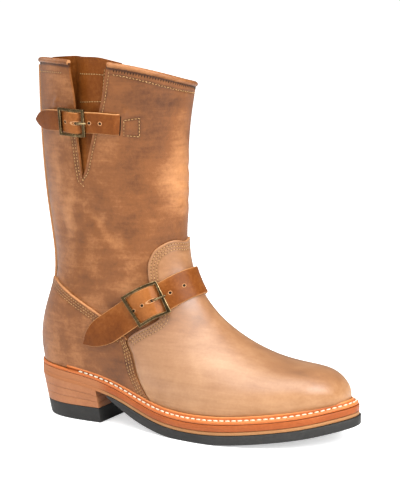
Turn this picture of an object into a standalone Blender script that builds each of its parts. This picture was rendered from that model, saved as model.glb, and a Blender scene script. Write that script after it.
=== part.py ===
# Right engineer boot: lasted upper with a slit shaft, welted leather sole, stacked heel, two buckled straps.
# +X points to the toe, +Y to the inner side of the foot, +Z up. The boot stands on the plane z = 0.
import math

import bmesh
import bpy
import numpy as np

MM = 0.001  # every size below is in millimetres, and a mesh is written in metres

# Driving sizes of the boot, and the sizes that the tables below are drawn for.
SOLE_LENGTH = 300.0
BALL_WIDTH = 104.0
BOOT_HEIGHT = 318.0
PATTERN_LENGTH = 300.0
PATTERN_WIDTH = 104.0
PATTERN_HEIGHT = 318.0
GRADE_X = SOLE_LENGTH / PATTERN_LENGTH
GRADE_Y = BALL_WIDTH / PATTERN_WIDTH
GRADE_Z = BOOT_HEIGHT / PATTERN_HEIGHT

# Leather, rubber and the clear space between pieces.
FIT_GAP = 0.3
WALL = 2.2
OVERLAY = 1.7
STRAP_THICK = 2.6
CHAPE_THICK = 1.8

# Thickness of the layers of the sole, from the ground up.
CAP_THICK = 13.0
HALF_SOLE_THICK = 8.0
RUNNER_THICK = 3.0
MIDSOLE_THICK = 5.6
WELT_THICK = 3.4
RAND_THICK = 2.6
INSOLE_THICK = 4.0

# Underside of the runner along the length.
SOLE_LINE_COLUMNS = ("along", "height")
SOLE_LINE = (
    (0, 37.2),
    (35, 34.5),
    (70, 29.7),
    (95, 23.3),
    (120, 15.1),
    (142, 9.7),
    (160, 7.9),
    (184, 7.8),
    (205, 9.0),
    (228, 11.4),
    (252, 14.4),
    (277, 18.4),
    (300, 23.2),
)

# Foot print of the upper where it meets the welt: half widths to the outer and the inner side.
FEATHER_COLUMNS = ("along", "outer", "inner")
HEEL_BACK = (4.5, 0.0)
TOE_TIP = (290.5, 13.0)
FEATHER = (
    (13, 19.3, 18.8),
    (34, 29.0, 28.5),
    (64, 30.5, 29.0),
    (95, 31.0, 26.0),
    (125, 35.0, 26.0),
    (158, 40.3, 32.0),
    (190, 42.7, 40.5),
    (218, 39.4, 44.5),
    (244, 31.2, 43.5),
    (266, 18.4, 38.5),
    (282, 2.0, 29.5),
)

# How far the sole stands out beyond that foot print.
REVEAL_COLUMNS = ("along", "reveal")
REVEAL = (
    (4, 4.5),
    (60, 5.0),
    (110, 6.5),
    (170, 9.0),
    (230, 9.5),
    (291, 9.5),
)

# Sections of the foot, from the toe to the heel. The first column is the share of the way along the print.
FOOT_COLUMNS = ("feather", "top_x", "top_z", "wide_out", "wide_in", "centre", "widest", "shoulder")
FOOT = (
    (0.000, 290.5, 34.6, 0.3, 0.3, 13.0, 0.35, 0.00),
    (0.045, 288.8, 44.5, 16.5, 15.5, 12.5, 0.35, 0.00),
    (0.100, 282.0, 53.5, 29.0, 26.5, 11.5, 0.33, -0.05),
    (0.165, 270.0, 59.8, 39.0, 34.5, 10.0, 0.30, -0.07),
    (0.235, 251.5, 62.6, 45.5, 40.0, 8.0, 0.28, -0.05),
    (0.310, 230.5, 66.5, 49.0, 42.5, 6.0, 0.26, 0.01),
    (0.390, 209.0, 74.3, 49.5, 42.0, 4.5, 0.25, 0.07),
    (0.470, 189.0, 85.4, 48.0, 39.0, 3.5, 0.25, 0.12),
    (0.550, 171.6, 99.2, 44.5, 35.5, 2.5, 0.26, 0.14),
    (0.630, 157.8, 115.5, 41.0, 33.5, 2.0, 0.29, 0.13),
    (0.710, 148.5, 133.0, 39.0, 33.5, 1.5, 0.34, 0.10),
    (0.790, 143.8, 150.0, 38.5, 35.0, 1.0, 0.40, 0.07),
    (0.870, 142.6, 165.0, 38.5, 37.0, 0.5, 0.45, 0.04),
    (0.940, 142.9, 177.5, 39.5, 38.5, 0.0, 0.48, 0.02),
)
HEEL_ROW = len(FOOT)

# Sections of the shaft, from the seat of the heel to the collar. Roll lifts the outer side.
SHAFT_COLUMNS = (
    "back_x", "back_z", "top_x", "top_z", "wide_out", "wide_in", "centre", "widest", "shoulder", "roll")
SHAFT = (
    (4.5, 50.0, 143.5, 188.0, 40.5, 39.5, 0.0, 0.50, 0.01, 0.000),
    (3.0, 66.5, 144.0, 198.0, 41.0, 40.5, 0.0, 0.50, 0.00, 0.000),
    (6.7, 89.0, 144.1, 208.0, 41.5, 41.0, 0.0, 0.50, 0.00, 0.000),
    (14.4, 113.7, 143.9, 218.0, 42.0, 41.5, 0.0, 0.50, 0.00, 0.005),
    (17.6, 139.2, 143.5, 227.8, 43.0, 42.0, 0.0, 0.50, 0.00, 0.010),
    (15.1, 166.8, 143.4, 238.3, 44.5, 43.5, -0.5, 0.50, 0.00, 0.015),
    (11.2, 197.3, 143.7, 249.5, 46.5, 45.0, -1.0, 0.50, 0.00, 0.025),
    (8.6, 229.9, 144.6, 261.5, 49.0, 47.0, -1.5, 0.50, 0.00, 0.043),
    (7.3, 261.3, 146.2, 274.0, 51.5, 49.0, -2.0, 0.50, 0.00, 0.070),
    (6.9, 288.8, 148.0, 285.6, 53.5, 51.0, -2.5, 0.50, 0.00, 0.108),
    (6.9, 311.8, 149.9, 297.0, 55.0, 52.5, -3.0, 0.50, 0.00, 0.150),
)
COLLAR_ROW = HEEL_ROW + len(SHAFT) - 1

# The front panel stands up at the slit: its lift, the row where that starts, its ramps around the collar.
FRONT_LIFT = 3.0
LIFT_START = 20.0
LIFT_RAMPS = ((0.215, 0.285), (0.500, 0.320))

# Back seam of the shaft, in a slight ridge: its share of the way from the middle of the back to the slit.
SEAM_SHARE = 0.2
RIDGE_ROWS = (16.6, 18.2)
RIDGE_OUT = 1.0
RIDGE_WIDE = 0.03

# Slit on the outer side of the shaft: its back and front edge around each row.
SLIT_COLUMNS = ("row", "back", "front")
SLIT = (
    (19.85, 0.2280, 0.2280),
    (20.2, 0.2270, 0.2395),
    (20.9, 0.2255, 0.2550),
    (21.3, 0.2245, 0.2630),
    (22.5, 0.2235, 0.2840),
    (23.5, 0.2165, 0.2920),
    (24.0, 0.2130, 0.2955),
)
SLIT_TIP = SLIT[0][0]

# Rear edge of the vamp over the foot: wings at the sides, a tab on the instep.
VAMP_COLUMNS = ("around", "row")
VAMP_EDGE = (
    (0.000, 8.20),
    (0.035, 8.53),
    (0.090, 9.08),
    (0.150, 9.66),
    (0.182, 10.15),
    (0.250, 9.72),
    (0.278, 9.58),
    (0.300, 9.95),
    (0.333, 11.46),
    (0.355, 12.25),
    (0.380, 12.60),
    (0.410, 12.48),
    (0.500, 11.85),
    (0.590, 12.48),
    (0.620, 12.60),
    (0.645, 12.25),
    (0.667, 11.46),
    (0.700, 9.95),
    (0.722, 9.58),
    (0.750, 9.66),
    (0.805, 9.80),
    (0.850, 8.85),
    (0.900, 8.15),
    (0.950, 7.62),
    (1.000, 7.25),
)

# Top edge of the counter from the wing of the vamp to the middle of the back.
# Only the wings differ from side to side.
COUNTER_BACK = 17.45
COUNTER_WINGS = {"outer": (10.17, 0.182), "inner": (9.82, 0.195)}
COUNTER_COLUMNS = ("row", "around")
COUNTER_TOP = (
    (10.76, 0.1917),
    (11.36, 0.2012),
    (11.90, 0.2071),
    (12.65, 0.2133),
    (13.14, 0.2173),
    (13.60, 0.2216),
    (14.00, 0.2255),
    (14.25, 0.2210),
    (14.58, 0.2144),
    (15.08, 0.2023),
    (15.52, 0.1886),
    (15.97, 0.1707),
    (16.46, 0.1453),
    (16.81, 0.1220),
    (17.20, 0.0800),
    (COUNTER_BACK, 0.000),
)
SEAM_STEP = 0.05
EDGE_LIFT = 0.010
TOE_LIFT = 2.0
LEVEL_EDGE = 5.0
HEEL_TURN = 0.6
VAMP_SHARED = 6.4
VAMP_CORNERS = (0.182, 0.278, 0.355, 0.645, 0.722, 0.805)
OVERLAY_GAP = 0.4
COUNTER_GAP = 0.6
COUNTER_EXTRA = 0.3
COUNTER_TURN = 1.4
COUNTER_TURN_STEPS = 8
COUNTER_PLACES = 7
BACK_SEAM_START = 17.46
BACK_SEAM_HALF = 3.0
BACK_SEAM_LOW = 0.45
BACK_SEAM_TALL = (0.65, 1.15, 0.65)
COLLAR_ROUND = 340.0
GUSSET_LAP = 0.03
GUSSET_CLEAR = 0.8
GUSSET_FOLD = 8.0
GUSSET_THICK = 1.4
GUSSET_BELOW = 0.25
GUSSET_STEPS = 8
BINDING_WIDE = 2.6
BINDING_TALL = 2.4
BINDING_SIDES = 6
BINDING_STEPS = 34
BINDING_END = 0.002

# Heel: its breast, how far it draws in and leans toward the ground, and the stack over the rubber cap.
HEEL_BREAST = 72.0
HEEL_LEAN = 4.0
HEEL_DRAW_BACK = 0.06
HEEL_DRAW_SIDE = 0.065
HEEL_STACK_DROP = 0.62
HEEL_LIFTS = 3
HEEL_STEPS = 16
HEEL_SPREAD = 1.15

HALF_SOLE_START = 84.0
HALF_SOLE_SKIVE = 36.0
SKIVED_THICK = 1.6
RUNNER_INSET = 0.6
INSOLE_INSET = 1.8
SOLE_STEPS = 40

# Welt and rand: distance out from the foot print, share of the sole's reveal, share of the height.
WELT_START = 42.0
WELT_STEPS = 46
RAND_STEPS = 20
WELT_PROFILE = (
    (-2.2, 0.0, 0.0),
    (-0.6, 1.0, 0.0),
    (-0.6, 1.0, 0.75),
    (-1.6, 1.0, 1.0),
    (-2.2, 0.0, 1.0),
)
RAND_PROFILE = (
    (-2.2, 0.0, 0.0),
    (-0.4, 1.0, 0.0),
    (-0.8, 1.0, 1.0),
    (-2.2, 0.0, 1.0),
)

# Buckles: section of the frame, centre bar and prong.
FRAME_THICK = 1.2
FRAME_TALL = 1.4
FRAME_CORNER = 3.0
BAR_RADIUS = 1.1
BAR_LIFT = 3.2
BAR_SIDE = 3.0
PRONG_RADIUS = 1.1
PRONG_START = 2.6
PRONG_LOW = 1.6
PRONG_REACH = 2.4
PRONG_DROP = 0.5
PRONG_COLUMNS = ("along", "rise")
PRONG = (
    (0.0, 0.00),
    (1.6, 0.36),
    (3.8, 0.75),
    (6.2, 0.95),
)
PRONG_SLOT = (1.2, 9.0)

# Straps: path as rows and places around from the free tip, place of the buckle on it, half width, half length
# of the frame, height of the seat, length of the point, lift of its tip, rear end of the chape, steps along.
STRIP_ALONG = 160
STRIP_ACROSS = 10
STRIP_MARGIN = 7.0
STRAP_ACROSS = 3
CHAPE_STEPS = 7
CHAPE_CLEAR = 0.7
CHAPE_INSET = 1.0
TIP_FALL = 14.0
BAR_CROWN = 0.2
TIP_BLUNT = 0.12
TIP_STATIONS = (0.02, 0.12, 0.35, 0.65)
STRAP_CLEAR = 0.5
OVER_OVERLAY = OVERLAY_GAP + OVERLAY + COUNTER_EXTRA + STRAP_CLEAR
STRAP_COLUMNS = ("name", "path", "buckle_at", "half", "half_frame", "base", "tip", "tip_lift",
                 "chape_end", "steps")
STRAPS = (
    ("instep",
     ((11.60, 0.113), (11.26, 0.173), (10.91, 0.220), (10.46, 0.288), (10.12, 0.330), (9.87, 0.393),
      (9.66, 0.500), (9.87, 0.607), (10.12, 0.670), (10.46, 0.712), (10.91, 0.780), (11.26, 0.827)),
     3.0, 13.0, 13.4, OVER_OVERLAY, 31.0, 0.8, -38.0, 30),
    ("collar",
     ((22.07, 0.098), (21.97, 0.190), (21.87, 0.225), (21.77, 0.258), (21.67, 0.290), (21.52, 0.326)),
     2.0, 9.0, 10.8, STRAP_CLEAR, 21.0, 4.2, -21.0, 18),
)

# Middle of the bounding box, so that the boot's origin is under its middle.
MIDDLE_X = 150.0
MIDDLE_Y = -3.61

MATERIAL_TABLE = (
    ("leather", (0.42, 0.22, 0.11), 0.55, 0.0),
    ("strap", (0.45, 0.22, 0.10), 0.50, 0.0),
    ("sole_leather", (0.62, 0.27, 0.09), 0.45, 0.0),
    ("insole", (0.55, 0.38, 0.24), 0.80, 0.0),
    ("rubber", (0.03, 0.03, 0.03), 0.75, 0.0),
    ("brass", (0.48, 0.38, 0.20), 0.35, 1.0),
)


def cubic(knots, values):
    """Natural cubic curve through a row of values."""
    knots = np.asarray(knots, float)
    values = np.asarray(values, float)
    count = len(knots)
    step = np.diff(knots)
    system = np.eye(count)
    right = np.zeros_like(values)
    for i in range(1, count - 1):
        system[i, i - 1:i + 2] = step[i - 1], 2 * (step[i - 1] + step[i]), step[i]
        right[i] = 6 * ((values[i + 1] - values[i]) / step[i] - (values[i] - values[i - 1]) / step[i - 1])
    bend = np.linalg.solve(system, right)

    def at(t):
        t = np.asarray(t, float)
        i = np.clip(np.searchsorted(knots, t) - 1, 0, count - 2)
        h = step[i]
        a = (knots[i + 1] - t) / h
        c = (t - knots[i]) / h
        if values.ndim > 1:
            a, c, h = a[..., None], c[..., None], h[..., None]
        return (a * values[i] + c * values[i + 1]
                + ((a ** 3 - a) * bend[i] + (c ** 3 - c) * bend[i + 1]) * h ** 2 / 6)

    return at


def soft_step(x):
    x = np.clip(x, 0, 1)
    return x * x * (3 - 2 * x)


def column(table, columns, name, grade=1.0):
    return np.array([row[columns.index(name)] for row in table], float) * grade


sole_line = cubic(column(SOLE_LINE, SOLE_LINE_COLUMNS, "along", GRADE_X),
                  column(SOLE_LINE, SOLE_LINE_COLUMNS, "height", GRADE_Z))
reveal = cubic(column(REVEAL, REVEAL_COLUMNS, "along", GRADE_X), column(REVEAL, REVEAL_COLUMNS, "reveal"))


def runner_top(x):
    return sole_line(x) + RUNNER_THICK


def midsole_top(x):
    return runner_top(x) + FIT_GAP + MIDSOLE_THICK


def feather_seat(x):
    """Height where the upper stands, just above the welt."""
    return midsole_top(x) + FIT_GAP + WELT_THICK + FIT_GAP


def closed_foot_print():
    """Closed curve of the foot print from the toe tip along the outer side, with its place at the heel."""
    along = column(FEATHER, FEATHER_COLUMNS, "along", GRADE_X)
    outer = column(FEATHER, FEATHER_COLUMNS, "outer", GRADE_Y)
    inner = column(FEATHER, FEATHER_COLUMNS, "inner", GRADE_Y)
    tip = np.array([[TOE_TIP[0] * GRADE_X, TOE_TIP[1] * GRADE_Y]])
    back = np.array([[HEEL_BACK[0] * GRADE_X, HEEL_BACK[1] * GRADE_Y]])
    outside = np.stack([along, -outer], 1)[::-1]
    inside = np.stack([along, inner], 1)
    loop = np.concatenate([tip, outside, back, inside])
    wrap = 5
    points = np.concatenate([loop[-wrap:], loop, loop[:wrap + 1]])
    chord = np.concatenate([[0], np.cumsum(np.linalg.norm(np.diff(points, axis=0), axis=1))])
    chord -= chord[wrap]
    return cubic(chord, points), chord[wrap + len(along) + 1], chord[wrap + len(loop)]


foot_print, HEEL_AT, PRINT_ROUND = closed_foot_print()


def print_point(share, inner):
    """Point of the foot print at a share of the way from the toe to the heel, on one side."""
    share = np.asarray(share, float)
    return foot_print(np.where(inner, PRINT_ROUND - share * (PRINT_ROUND - HEEL_AT), share * HEEL_AT))


def outline(out):
    """Dense closed outline that stands out from the foot print by out + reveal."""
    at = np.linspace(0, PRINT_ROUND, 720, endpoint=False)
    point = foot_print(at)
    tangent = foot_print(at + 0.2) - foot_print(at - 0.2)
    tangent /= np.linalg.norm(tangent, axis=1)[:, None]
    outward = np.stack([tangent[:, 1], -tangent[:, 0]], 1) * -1
    return point + outward * out(point[:, 0])[:, None]


def make_section_curves():
    rows = np.arange(COLLAR_ROW + 1)
    curves = {}
    grades = {"top_x": GRADE_X, "top_z": GRADE_Z, "wide_out": GRADE_Y, "wide_in": GRADE_Y, "centre": GRADE_Y,
              "widest": 1.0, "shoulder": 1.0}
    for name, grade in grades.items():
        values = np.concatenate([column(FOOT, FOOT_COLUMNS, name, grade),
                                 column(SHAFT, SHAFT_COLUMNS, name, grade)])
        curves[name] = cubic(rows, values)
    feather = np.append(column(FOOT, FOOT_COLUMNS, "feather"), 1.0)
    curves["feather"] = cubic(rows[:HEEL_ROW + 1], feather)
    shaft_rows = rows[HEEL_ROW:]
    for name, grade in {"back_x": GRADE_X, "back_z": GRADE_Z, "roll": 1.0}.items():
        curves[name] = cubic(shaft_rows, column(SHAFT, SHAFT_COLUMNS, name, grade))
    return curves


section = make_section_curves()


def seam_place(u):
    """Place around of the back seam at row u."""
    return SEAM_SHARE * slit_back(np.maximum(u, SLIT_TIP))


def upper_base(u, v):
    """Point of the upper at row u; v runs from the outer edge, 0, over the top, 0.5, to the inner edge, 1."""
    u, v = np.broadcast_arrays(np.asarray(u, float), np.asarray(v, float))
    inner = v > 0.5
    rise = np.where(inner, 2 - 2 * v, 2 * v)
    foot = u < HEEL_ROW
    centre = section["centre"](u)
    share = np.clip(section["feather"](np.minimum(u, HEEL_ROW)), 0, 1)
    edge = print_point(share, inner)
    shaft_u = np.maximum(u, HEEL_ROW)
    heel_drop = feather_seat(HEEL_BACK[0] * GRADE_X) - SHAFT[0][1] * GRADE_Z
    base_x = np.where(foot, edge[..., 0], section["back_x"](shaft_u))
    base_z = np.where(foot, feather_seat(edge[..., 0]),
                      section["back_z"](shaft_u) + heel_drop * np.exp(-2.0 * (shaft_u - HEEL_ROW)))
    half_base = np.where(foot, np.abs(edge[..., 1] - centre), 0.0)
    wide = np.where(inner, section["wide_in"](u), section["wide_out"](u))
    wide = np.maximum(wide, half_base * 1.002 + 0.2)
    widest = section["widest"](u)
    shoulder = section["shoulder"](u)
    top_x = section["top_x"](u)
    top_z = section["top_z"](u)
    tall = np.hypot(top_x - base_x, top_z - base_z)
    under = np.arccos(np.clip(half_base / wide, 0, 1))
    low = np.hypot(wide - half_base, widest * tall)
    high = np.hypot(wide, (1 - widest) * tall)
    part = low / (low + high + 1e-9)
    low_angle = -under * (1 - np.minimum(rise / part, 1))
    high_angle = np.clip((rise - part) / (1 - part), 0, 1) * math.pi / 2
    below = rise < part
    across = np.where(below, wide * np.cos(low_angle),
                      wide * np.cos(high_angle) * (1 - shoulder * np.sin(high_angle) ** 2))
    climb = np.where(below, widest * (1 + np.sin(low_angle) / np.maximum(np.sin(under), 1e-6)),
                     widest + (1 - widest) * np.sin(high_angle))
    y = np.where(inner, across, -across)
    roll = np.where(foot, 0.0, section["roll"](shaft_u))
    lift = FRONT_LIFT * np.clip((u - LIFT_START) / (COLLAR_ROW - LIFT_START), 0, None) ** 2
    for low, high in LIFT_RAMPS:
        lift = lift * soft_step((v - low) / (high - low))
    beside = np.where(inner, v - 1, v) - seam_place(u)
    ridge = RIDGE_OUT * np.exp(-(beside / RIDGE_WIDE) ** 2)
    ridge = ridge * soft_step((u - RIDGE_ROWS[0]) / (RIDGE_ROWS[1] - RIDGE_ROWS[0]))
    return np.stack([base_x + (top_x - base_x) * climb - ridge,
                     centre + y,
                     base_z + (top_z - base_z) * climb - roll * y + lift], -1)


def upper_normal(u, v):
    """Outward direction of the upper's surface."""
    u, v = np.broadcast_arrays(np.asarray(u, float), np.asarray(v, float))
    du = 0.01
    dv = 0.002
    u0 = np.clip(u, 0.02, COLLAR_ROW - du)
    v0 = np.where(v < 0.5, np.clip(v, 0, 0.5 - dv), np.clip(v, 0.5, 1 - dv))
    along = upper_base(u0 + du, v0) - upper_base(u0, v0)
    around = upper_base(u0, v0 + dv) - upper_base(u0, v0)
    normal = np.cross(around, along)
    length = np.linalg.norm(normal, axis=-1)[..., None]
    return normal / np.maximum(length, 1e-12)


def upper_point(u, v, out=0.0):
    """Point off the upper's surface. Along the lower edge of the foot it moves level with the welt below."""
    base = upper_base(u, v)
    normal = upper_normal(u, v)
    rise = np.clip((base[..., 2] - feather_seat(base[..., 0])) / LEVEL_EDGE, 0, 1)
    free = np.maximum(rise, np.clip((np.asarray(u, float) - HEEL_ROW) / HEEL_TURN + 1, 0, 1))
    slope = sole_line(base[..., 0] + 0.5) - sole_line(base[..., 0] - 0.5)
    normal[..., 2] = free * normal[..., 2] + (1 - free) * slope * normal[..., 0]
    normal /= np.maximum(np.linalg.norm(normal, axis=-1)[..., None], 1e-9)
    return base + normal * np.asarray(out, float)[..., None]


def monotone(knots, values):
    """Curve through a row of values that never swings past them."""
    knots = np.asarray(knots, float)
    values = np.asarray(values, float)
    step = np.diff(knots)
    rise = np.diff(values) / step
    slope = np.zeros(len(knots))
    slope[0], slope[-1] = rise[0], rise[-1]
    for i in range(1, len(knots) - 1):
        if rise[i - 1] * rise[i] > 0:
            slope[i] = 2 * rise[i - 1] * rise[i] / (rise[i - 1] + rise[i])

    def at(t):
        t = np.clip(np.asarray(t, float), knots[0], knots[-1])
        i = np.clip(np.searchsorted(knots, t) - 1, 0, len(step) - 1)
        h = step[i]
        x = (t - knots[i]) / h
        return (values[i] * (1 + 2 * x) * (1 - x) ** 2 + slope[i] * h * x * (1 - x) ** 2
                + values[i + 1] * x ** 2 * (3 - 2 * x) + slope[i + 1] * h * x ** 2 * (x - 1))

    return at


slit_back = monotone(column(SLIT, SLIT_COLUMNS, "row"), column(SLIT, SLIT_COLUMNS, "back"))
slit_front = monotone(column(SLIT, SLIT_COLUMNS, "row"), column(SLIT, SLIT_COLUMNS, "front"))
vamp_end = monotone(column(VAMP_EDGE, VAMP_COLUMNS, "around"), column(VAMP_EDGE, VAMP_COLUMNS, "row"))


def link(obj, material):
    bpy.context.scene.collection.objects.link(obj)
    obj.data.materials.append(MATERIALS[material])
    obj.parent = boot
    return obj


def add_mesh(name, bm, material):
    """Close a bmesh given in millimetres into a named object."""
    bmesh.ops.scale(bm, vec=(MM, MM, MM), verts=bm.verts)
    bmesh.ops.triangulate(bm, faces=[f for f in bm.faces if len(f.verts) > 4])
    bmesh.ops.recalc_face_normals(bm, faces=bm.faces)
    mesh = bpy.data.meshes.new(name)
    bm.to_mesh(mesh)
    bm.free()
    return link(bpy.data.objects.new(name, mesh), material)


def wrap(name, patches, material):
    """Closed sheet on the upper. A patch is a grid of rows and places around, with its two heights."""
    bm = bmesh.new()
    pairs = {}
    edges = {}
    for u, v, low, high in patches:
        lower = upper_point(u, v, np.broadcast_to(low, u.shape))
        upper = upper_point(u, v, np.broadcast_to(high, u.shape))
        keys = np.empty(u.shape, object)
        for i, j in np.ndindex(u.shape):
            on_back = u[i, j] >= HEEL_ROW - 1e-6 and (v[i, j] < 1e-6 or v[i, j] > 1 - 1e-6)
            around = 0.0 if on_back or u[i, j] < 1e-6 else round(float(v[i, j]), 6)
            key = (round(float(u[i, j]), 5), around)
            keys[i, j] = key
            if key not in pairs:
                pairs[key] = (bm.verts.new(lower[i, j]), bm.verts.new(upper[i, j]))
        base = upper_base(u, v)
        for i, j in np.ndindex(u.shape[0] - 1, u.shape[1] - 1):
            ring = list(dict.fromkeys((keys[i, j], keys[i, j + 1], keys[i + 1, j + 1], keys[i + 1, j])))
            if len(ring) < 3:
                continue
            cells = [ring]
            if len(ring) == 4:
                straight = np.linalg.norm(base[i, j] - base[i + 1, j + 1])
                cross = np.linalg.norm(base[i, j + 1] - base[i + 1, j])
                a, b, c, d = ring
                cells = [[a, b, c], [a, c, d]] if straight <= cross else [[a, b, d], [b, c, d]]
            for cell in cells:
                bm.faces.new([pairs[k][1] for k in cell])
                bm.faces.new([pairs[k][0] for k in reversed(cell)])
            for a, b in zip(ring, ring[1:] + ring[:1]):
                edge = frozenset((a, b))
                edges[edge] = None if edge in edges else (a, b)
    for pair in edges.values():
        if pair:
            a, b = pair
            bm.faces.new([pairs[b][1], pairs[a][1], pairs[a][0], pairs[b][0]])
    return add_mesh(name, bm, material)


def patch(rows, around, low, high):
    """Patch from a column of rows and, for every row, its places around."""
    u = np.repeat(np.asarray(rows, float)[:, None], around.shape[1], 1)
    return u, around, low, high


def stations(out, start, end, count):
    """Outer and inner edge of a sole layer at places along its length, close together at rounded ends."""
    ring = outline(out)
    heel = int(round(HEEL_AT / PRINT_ROUND * len(ring)))
    outer = ring[:heel + 1][::-1]
    inner = np.concatenate([ring[heel:], ring[:1]])
    first = max(start, ring[:, 0].min())
    last = min(end, ring[:, 0].max())
    x = first + (last - first) * (1 - np.cos(np.linspace(0, math.pi, count + 1))) / 2
    return x, np.interp(x, outer[:, 0], outer[:, 1]), np.interp(x, inner[:, 0], inner[:, 1])


def edge_points(x, outer, inner, height):
    z = height(x)
    return np.stack([x, outer, z], 1), np.stack([x, inner, z], 1)


def layer(name, low, high, material):
    """Closed plank between two rims, each given as its outer and inner edge points."""
    bm = bmesh.new()
    rims = []
    for outer, inner in (low, high):
        outer_verts = [bm.verts.new(p) for p in outer]
        inner_verts = [bm.verts.new(p) for p in inner]
        for i in (0, len(outer) - 1):
            if np.linalg.norm(outer[i] - inner[i]) < 0.05:
                bm.verts.remove(inner_verts[i])
                inner_verts[i] = outer_verts[i]
        rims.append((outer_verts, inner_verts))
    (low_out, low_in), (high_out, high_in) = rims
    last = len(low_out) - 1

    def face(*ring):
        ring = list(dict.fromkeys(ring))
        if len(ring) > 2:
            bm.faces.new(ring)

    for i in range(last):
        face(high_out[i], high_out[i + 1], high_in[i + 1], high_in[i])
        face(low_out[i], low_in[i], low_in[i + 1], low_out[i + 1])
        face(low_out[i], low_out[i + 1], high_out[i + 1], high_out[i])
        face(low_in[i], high_in[i], high_in[i + 1], low_in[i + 1])
    for i in (0, last):
        face(low_out[i], high_out[i], high_in[i], low_in[i])
    return add_mesh(name, bm, material)


def sole_layer(name, out, low, high, material, start=-SOLE_LENGTH):
    x, outer, inner = stations(out, start * GRADE_X, 2 * SOLE_LENGTH, SOLE_STEPS)
    return layer(name, edge_points(x, outer, inner, low), edge_points(x, outer, inner, high), material)


def sweep(bm, rings, closed):
    """Skin a row of equal point rings; open rows are capped."""
    loops = [[bm.verts.new(p) for p in ring] for ring in rings]
    around = len(loops[0])
    pairs = list(zip(loops, loops[1:] + loops[:1])) if closed else list(zip(loops, loops[1:]))
    for a, b in pairs:
        for i in range(around):
            j = (i + 1) % around
            bm.faces.new([a[i], a[j], b[j], b[i]])
    if not closed:
        bm.faces.new(loops[0])
        bm.faces.new(loops[-1][::-1])
    return bm


def edge_strip(name, start, thickness, profile, steps, material, behind=False):
    """Strip on the rim of the midsole, with a profile swept round the foot print."""
    dense = np.linspace(0, PRINT_ROUND, 1441)
    x_at = foot_print(dense)[:, 0]
    heel = np.searchsorted(dense, HEEL_AT)
    outer_cut = dense[:heel][np.argmin(np.abs(x_at[:heel] - start * GRADE_X))]
    inner_cut = dense[heel:][np.argmin(np.abs(x_at[heel:] - start * GRADE_X))]
    if behind:
        at = np.linspace(outer_cut + FIT_GAP, inner_cut - FIT_GAP, steps + 1)
    else:
        at = np.linspace(inner_cut - PRINT_ROUND, outer_cut, steps + 1)
    point = foot_print(at % PRINT_ROUND)
    tangent = foot_print((at + 0.2) % PRINT_ROUND) - foot_print((at - 0.2) % PRINT_ROUND)
    tangent /= np.linalg.norm(tangent, axis=1)[:, None]
    outward = np.stack([-tangent[:, 1], tangent[:, 0]], 1)
    rim = reveal(point[:, 0])
    rings = []
    for i in range(len(at)):
        ring = []
        for out, beyond, share in profile:
            flat = point[i] + outward[i] * (out + beyond * rim[i])
            ring.append((flat[0], flat[1], midsole_top(flat[0]) + FIT_GAP + share * thickness))
        rings.append(ring)
    return add_mesh(name, sweep(bmesh.new(), rings, False), material)


def heel_print(drop):
    """Edges of the heel at a share of the way down, and its seat. It draws in, and its breast leans."""
    x, outer, inner = stations(runner_reveal, -SOLE_LENGTH, HEEL_BREAST * GRADE_X, 2 * HEEL_STEPS)
    keep = np.unique(np.round(np.linspace(0, 1, HEEL_STEPS + 1) ** HEEL_SPREAD * 2 * HEEL_STEPS).astype(int))
    breast = x[-1]
    x, outer, inner = x[keep], outer[keep], inner[keep]
    seat = sole_line(x) - FIT_GAP
    x = breast + HEEL_LEAN * drop + (x - breast) * (1 - HEEL_DRAW_BACK * drop)
    middle = (outer + inner) / 2
    narrow = 1 - HEEL_DRAW_SIDE * drop
    return x, middle + (outer - middle) * narrow, middle + (inner - middle) * narrow, seat


def heel_rim(drop, share, gap):
    """Rim of a leather lift at a share of the stack's height."""
    x, outer, inner, seat = heel_print(drop)
    foot = CAP_THICK + FIT_GAP
    z = foot + (seat - foot) * share - gap
    return np.stack([x, outer, z], 1), np.stack([x, inner, z], 1)


def cap_rim(drop, height):
    """Level rim of the rubber cap."""
    x, outer, inner, seat = heel_print(drop)
    z = np.full_like(x, height)
    return np.stack([x, outer, z], 1), np.stack([x, inner, z], 1)


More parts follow.
